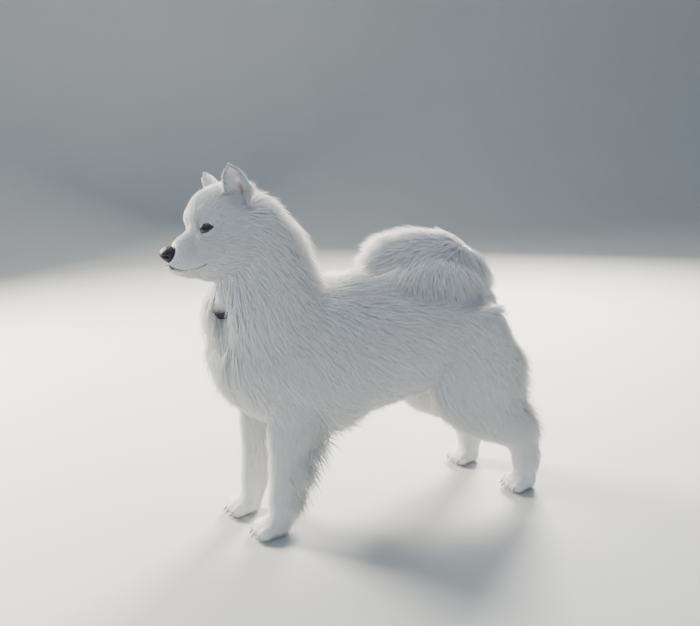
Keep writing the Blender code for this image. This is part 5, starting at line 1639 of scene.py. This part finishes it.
class CollarSettings(bpy.types.PropertyGroup):
    """The webbing strap."""
    colour: tint("Webbing colour", "Main yarn of the strap", (0.010, 0.009, 0.015))
    thread_colour: tint("Thread colour", "Second yarn of the strap", (0.045, 0.040, 0.070))
    width: measure("Strap width", "Width of the webbing", 0.014, 0.008, 0.03, unit="LENGTH")


class StageSettings(bpy.types.PropertyGroup):
    """Floor, backdrop and light."""
    floor_colour: tint("Floor colour", "Pale floor and backdrop", (0.52, 0.53, 0.52))
    rim_power: measure("Rim light", "Power of the lights behind the dog", 380.0, 0.0, 5000.0,
                       unit="POWER")
    fill_power: measure("Fill light", "Power of the soft light beside the camera", 24.0, 0.0, 5000.0,
                        unit="POWER")


class SAMOYED_OT_skin(bpy.types.Operator):
    """Build the one skin that lies under the coat"""
    bl_idname = "samoyed.skin"
    bl_label = "Skin"

    def execute(self, context):
        skin = build_skin()
        unwrap(skin, "unwrap")
        WORK["skin"] = skin
        skin.data.materials.clear()
        scene = context.scene
        skin.data.materials.append(skin_material(scene.samoyed_coat, scene.samoyed_face))
        return {"FINISHED"}


class SAMOYED_OT_coat(bpy.types.Operator):
    """Grow the coat as solid tufts over the skin, one piece for each region"""
    bl_idname = "samoyed.coat"
    bl_label = "Coat"

    def execute(self, context):
        coat = context.scene.samoyed_coat
        tree = coat_tree()
        fur = fur_material(coat)
        share = 1.0
        for seed, (name, _, _, hair) in enumerate(COAT_PIECES, 1):
            piece = grow(name, WORK["skin"], tree, {
                "Tufts": share, "Cover": f"cover_{name}", "Segments": TUFT_STEPS, "Length": coat.length,
                "Width": coat.width / math.sqrt(share), "Seed": seed, "Material": fur, **hair})
            settle(piece)
        skin = WORK["skin"]
        drop_fields(skin.data, [*SKIN_FIELDS, *(f"cover_{name}" for name, *_ in COAT_PIECES)])
        skin.data.polygons.foreach_set("use_smooth", [True] * len(skin.data.polygons))
        settle(skin, *FLESH_NODES)
        return {"FINISHED"}


def almond(centre, mirror, radius, count=96):
    """The rim of the eye's opening on a sphere round the eye's middle."""
    out, along, across = eye_axes(mirror)
    rim = []
    for i in range(count):
        angle = math.tau * i / count
        c, s = math.cos(angle), math.sin(angle)
        x = LID_HALF_LENGTH * c
        y = LID_HALF_HEIGHT * math.copysign(abs(s) ** LID_CURVE, s)
        away = math.sqrt(max(radius * radius - x * x - y * y, 0.0))
        rim.append(centre + along * x + across * y + out * away)
    return rim


def ring_shell(path, middle, across, down, sides=10):
    """A closed loop of flattened tube round a middle point."""
    count = len(path)
    points = []
    for i, point in enumerate(path):
        along = (path[(i + 1) % count] - path[i - 1]).normalized()
        away = point - middle
        away = (away - along * away.dot(along)).normalized()
        over = away.cross(along)
        size = across(i / count)
        for j in range(sides):
            angle = math.tau * j / sides
            points.append(point + over * math.cos(angle) * size + away * math.sin(angle) * down)
    return np.array([tuple(p) for p in points]), bands(count, sides, closed=True)


def carried(shell, matrix):
    """A shell moved by a matrix."""
    points, faces = shell
    return moved(points, matrix), faces


class SAMOYED_OT_eyes(bpy.types.Operator):
    """Build the two eyes and the dark rims of their lids"""
    bl_idname = "samoyed.eyes"
    bl_label = "Eyes and lids"

    def execute(self, context):
        face = context.scene.samoyed_face
        matrix = head_matrix()
        lids = []
        for name, mirror in (("left", 1), ("right", -1)):
            centre = WORK["eyes"][mirror]
            out = eye_axes(mirror)[0]
            points, faces = ball((0, 0, 0), (EYE_RADIUS, EYE_RADIUS, EYE_RADIUS), 64, 40)
            cornea = CORNEA_RISE * smoothstep(points @ np.array(out) / EYE_RADIUS, 0.80, 0.97)
            points += np.outer(cornea, out)
            material = eye_material(face, matrix @ centre - MIDDLE, matrix.to_3x3() @ out)
            shell = carried((points + np.array(centre), faces), matrix)
            eye = make_piece(f"eyeball_{name}", [shell], material)
            settle(eye, f"eye_{name}")
            rim = ring_shell(almond(centre, mirror, EYE_RADIUS + RIM_STAND), centre,
                             lambda t: RIM_WIDTH + RIM_SWELL * math.sin(math.tau * t) ** 2, RIM_DEPTH)
            lids.append(carried(rim, matrix))
        material = grained("lid_skin", 700.0, (tuple(face.lid_colour), (0.055, 0.045, 0.045)), 0.30, 0.2,
                           0.0002, **{"Specular IOR Level": 0.5})
        settle(make_piece("lid_rims", lids, material))
        return {"FINISHED"}


def nose_shell():
    """The nose leather in the head's frame, narrower below, with nostrils and a split."""
    sizes = [size + growth for size, growth in zip(NOSE_SIZE, NOSE_GROWTH)]
    points, faces = ball(NOSE_CENTRE, sizes, 96, 72)
    low = np.maximum(0.0, (NOSE_CENTRE[2] - points[:, 2]) / NOSE_SIZE[2])
    points[:, 1] *= 1 - NOSE_TAPER * low
    points[:, 0] -= NOSE_SLANT * low
    high = points[:, 2] > NOSE_CENTRE[2]
    points[high, 2] -= NOSE_FLATNESS * (points[high, 2] - NOSE_CENTRE[2])
    centre = np.array(NOSE_CENTRE)
    inward = centre - points
    inward /= np.linalg.norm(inward, axis=1)[:, None]
    for mirror in (1, -1):
        hole = np.array(mirrored(NOSTRIL, mirror))
        slit = hole + np.array(NOSTRIL_SLIT) * (1, mirror, 1)
        deep = path_distance(points, [hole, (hole + slit) / 2, slit])
        points += inward * (NOSTRIL_DEPTH * bell(deep, NOSTRIL_WIDTH))[:, None]
        wing = path_distance(points, [hole + (0, 0, WING_ABOVE[0]), slit + (0, 0, WING_ABOVE[1])])
        points -= inward * (WING_RISE * bell(wing, WING_WIDTH))[:, None]
    split_line = bell(points[:, 1], SPLIT_WIDTH) * smoothstep(-points[:, 2], 0.030, 0.040)
    points += inward * (SPLIT_DEPTH * split_line * (points[:, 0] > 0.094))[:, None]
    return points, faces


class SAMOYED_OT_nose(bpy.types.Operator):
    """Build the nose leather with its nostrils and the dark lips"""
    bl_idname = "samoyed.nose"
    bl_label = "Nose and lips"

    def execute(self, context):
        face = context.scene.samoyed_face
        matrix = head_matrix()
        piece = make_piece("nose_leather", [carried(nose_shell(), matrix)], nose_material(face))
        settle(piece, "nose")
        lips = []
        for mirror in (1, -1):
            path = [near - normal * LIP_SINK for near, normal in WORK["paths"][mirror]]
            count = len(path)
            radii = [LIP_RADIUS * (1 - 0.50 * (i / (count - 1)) ** 0.5) for i in range(count)]
            lips.append(carried(tube(path, radii, 8), matrix))
        settle(make_piece("lips", lips, grained(
            "lip_skin", 420.0, (tuple(face.lid_colour), (0.20, 0.16, 0.165)), 0.38, 0.25, 0.0003)))
        return {"FINISHED"}


def whisker_roots(mirror):
    """Where the whiskers of one side leave the muzzle, laid on its skin."""
    roots = []
    for row in range(WHISKER_ROWS):
        for i in range(WHISKERS_IN_ROW):
            start = Vector((WHISKER_FIRST[0] - WHISKER_STEP * i - WHISKER_ROW[0] * row,
                            WHISKER_FIRST[1], WHISKER_FIRST[2] - WHISKER_ROW[1] * row))
            found = WORK["muzzle"].ray_cast(mirrored(start, mirror), Vector((0, -mirror, 0)))[0]
            roots.append(found)
    return roots


class SAMOYED_OT_whiskers(bpy.types.Operator):
    """Build the whiskers of the muzzle"""
    bl_idname = "samoyed.whiskers"
    bl_label = "Whiskers"

    def execute(self, context):
        length = context.scene.samoyed_face.whisker_length
        matrix = head_matrix()
        rng = np.random.default_rng(5)
        shells = []
        for mirror in (1, -1):
            for index, root in enumerate(whisker_roots(mirror)):
                row, i = divmod(index, WHISKERS_IN_ROW)
                lean = Vector((-0.35 - 0.12 * i, 0.85 * mirror, -0.20 - 0.12 * row)).normalized()
                size = length * (0.55 + 0.12 * i) * rng.uniform(0.7, 1.1)
                path = []
                for k in range(6):
                    t = k / 5
                    bend = mirrored(WHISKER_BEND, mirror) * t * t
                    path.append(root + (lean * (t - 0.05) + bend) * size)
                radii = [WHISKER_RADIUS * (1 - 0.85 * k / 5) for k in range(6)]
                shells.append(carried(tube(path, radii, 4), matrix))
        settle(make_piece("whiskers", shells, grained(
            "whisker_hair", 60.0, ((0.80, 0.80, 0.80), (0.92, 0.92, 0.92)), 0.3, 0.2, detail=2.0)))
        return {"FINISHED"}


class SAMOYED_OT_claws(bpy.types.Operator):
    """Build the claws of the four paws"""
    bl_idname = "samoyed.claws"
    bl_label = "Claws"

    def execute(self, context):
        steps = [k / 7 for k in range(8)]
        shells = []
        for place in paws():
            for centre in toe_centres(*place):
                path = [centre + CLAW_START + CLAW_RUN * t + CLAW_HOOK * t * t for t in steps]
                shells.append(tube(path, [CLAW_RADIUS * (1 - CLAW_TAPER * t ** 2) for t in steps], 10))
        settle(make_piece("claws", shells, grained(
            "claw_horn", 1.0, ((0.36, 0.29, 0.23), (0.62, 0.54, 0.45)), 0.25, 0.2, 0.0002,
            stretch=(90.0, 500.0, 500.0))))
        return {"FINISHED"}


def strap_radii(centre, along):
    """How far the strap lies from the middle of its ring, all round over the skin."""
    skin = tree_of(WORK["skin"].data)
    middle = centre - MIDDLE
    radii = []
    for i in range(STRAP_STEPS):
        away = round_ring(along, ACROSS, i, STRAP_STEPS)
        found = skin.ray_cast(middle + away * 0.3, -away)[0]
        radii.append((found - middle).length + STRAP_RISE)
    for _ in range(STRAP_EVENING):
        radii = [(radii[i - 1] + radius * 2 + radii[(i + 1) % STRAP_STEPS]) / 4
                 for i, radius in enumerate(radii)]
    return radii


def round_ring(first, second, step, steps):
    """The direction of one step round a ring that starts at first and goes by second."""
    angle = math.tau * step / steps
    return first * math.cos(angle) + second * math.sin(angle)


def weave_map(mesh):
    """A map for the weave: along the strap and over its width."""
    sides = len(STRAP_PROFILE)
    layer = mesh.uv_layers.new(name="Weave")
    for polygon in mesh.polygons:
        corners = [(loop, *divmod(mesh.loops[loop].vertex_index, sides))
                   for loop in polygon.loop_indices]
        rows = [row for _, row, _ in corners]
        wraps = max(rows) - min(rows) > STRAP_STEPS / 2
        for loop, row, side in corners:
            run = row + (STRAP_STEPS if wraps and row == 0 else 0)
            layer.data[loop].uv = (run * WEAVE_ALONG, STRAP_PROFILE[side][0] * WEAVE_ACROSS)


class SAMOYED_OT_collar(bpy.types.Operator):
    """Build the webbing collar and its ring"""
    bl_idname = "samoyed.collar"
    bl_label = "Collar"

    def execute(self, context):
        strap = context.scene.samoyed_collar
        centre, along, axis = collar_axes()
        radii = strap_radii(centre, along)
        points = []
        for i, radius in enumerate(radii):
            away = round_ring(along, ACROSS, i, STRAP_STEPS)
            for across, up in STRAP_PROFILE:
                points.append(tuple(centre + away * (radius + up * STRAP_THICKNESS)
                                    + axis * across * strap.width / 2))
        faces = bands(STRAP_STEPS, len(STRAP_PROFILE), closed=True)
        piece = make_piece("collar_strap", [(np.array(points), faces)], webbing_material(strap))
        weave_map(piece.data)
        settle(piece, "collar")
        middle = centre - along * (radii[STRAP_STEPS // 2] + RING_STAND) - axis * RING_DROP
        loop = [middle + round_ring(axis, ACROSS, i, 24) * RING_RADIUS for i in range(24)]
        ring = ring_shell(loop, middle, lambda t: RING_WIRE, RING_WIRE, 8)
        settle(make_piece("collar_ring", [ring], grained(
            "ring_steel", 350.0, ((0.62, 0.62, 0.64), (0.45, 0.45, 0.47)), 0.15, 0.25, Metallic=1.0)))
        return {"FINISHED"}


def floor_mesh():
    """The floor and the wall behind it in one sweep."""
    mesh = bpy.data.meshes.new("floor")
    profile = [(FLOOR_FRONT, 0.0), (FLOOR_BACK, 0.0)]
    for degrees in range(10, 91, 10):
        turn = math.radians(degrees)
        profile.append((FLOOR_BACK + SWEEP * math.sin(turn), SWEEP - SWEEP * math.cos(turn)))
    profile.append((FLOOR_BACK + SWEEP, WALL_TOP))
    points = [(x, y, z) for y, z in profile for x in (-FLOOR_HALF_WIDTH, FLOOR_HALF_WIDTH)]
    faces = [(2 * i, 2 * i + 1, 2 * i + 3, 2 * i + 2) for i in range(len(profile) - 1)]
    mesh.from_pydata(points, [], faces)
    return mesh


class SAMOYED_OT_stage(bpy.types.Operator):
    """Set up the floor, the light and the camera"""
    bl_idname = "samoyed.stage"
    bl_label = "Studio"

    def execute(self, context):
        stage = context.scene.samoyed_stage
        floor = make_object("floor", floor_mesh(), floor_material(stage))
        world = bpy.data.worlds.new("studio")
        world.use_nodes = True
        context.scene.world = world
        back = world.node_tree.nodes["Background"]
        back.inputs["Color"].default_value = SKY_COLOUR
        back.inputs["Strength"].default_value = SKY_STRENGTH
        for name, place, aim, size, power, colour in LAMPS:
            data = bpy.data.lights.new(name, "AREA")
            data.energy = getattr(stage, power)
            data.color = colour
            data.size = size
            lamp = bpy.data.objects.new(name, data)
            context.scene.collection.objects.link(lamp)
            lamp.location = place
            lamp.rotation_euler = (Vector(aim) - Vector(place)).to_track_quat("-Z", "Y").to_euler()
        data = bpy.data.cameras.new("camera")
        data.sensor_width = 36.0
        data.lens = CAMERA_LENS
        camera = bpy.data.objects.new("camera", data)
        context.scene.collection.objects.link(camera)
        turn = Matrix((CAMERA_RIGHT, CAMERA_UP, -CAMERA_VIEW)).transposed().to_4x4()
        camera.matrix_world = Matrix.Translation(CAMERA_PLACE - MIDDLE) @ turn
        context.scene.camera = camera
        return {"FINISHED"}


class SAMOYED_PT_panel(bpy.types.Panel):
    """Buttons and sizes of the dressed dog"""
    bl_label = "Samoyed"
    bl_idname = "SAMOYED_PT_panel"
    bl_space_type = "VIEW_3D"
    bl_region_type = "UI"
    bl_category = "Samoyed"

    def draw(self, context):
        for group in GROUPS:
            box = self.layout.box()
            settings = getattr(context.scene, group)
            for name in settings.__annotations__:
                box.prop(settings, name)
        for operator in OPERATORS:
            self.layout.operator(operator.bl_idname)


OPERATORS = [SAMOYED_OT_skin, SAMOYED_OT_coat, SAMOYED_OT_eyes, SAMOYED_OT_nose, SAMOYED_OT_whiskers,
             SAMOYED_OT_claws, SAMOYED_OT_collar, SAMOYED_OT_stage]
GROUPS = {"samoyed_coat": CoatSettings, "samoyed_face": FaceSettings, "samoyed_collar": CollarSettings,
          "samoyed_stage": StageSettings}


def register():
    for kind in (*GROUPS.values(), *OPERATORS, SAMOYED_PT_panel):
        bpy.utils.register_class(kind)
    for name, kind in GROUPS.items():
        setattr(bpy.types.Scene, name, bpy.props.PointerProperty(type=kind))


def unregister():
    for name in GROUPS:
        delattr(bpy.types.Scene, name)
    for kind in reversed((*GROUPS.values(), *OPERATORS, SAMOYED_PT_panel)):
        bpy.utils.unregister_class(kind)


def main():
    register()
    bpy.ops.samoyed.skin()
    bpy.ops.samoyed.coat()
    bpy.ops.samoyed.eyes()
    bpy.ops.samoyed.nose()
    bpy.ops.samoyed.whiskers()
    bpy.ops.samoyed.claws()
    bpy.ops.samoyed.collar()
    bpy.ops.samoyed.stage()


if __name__ == "__main__":
    main()
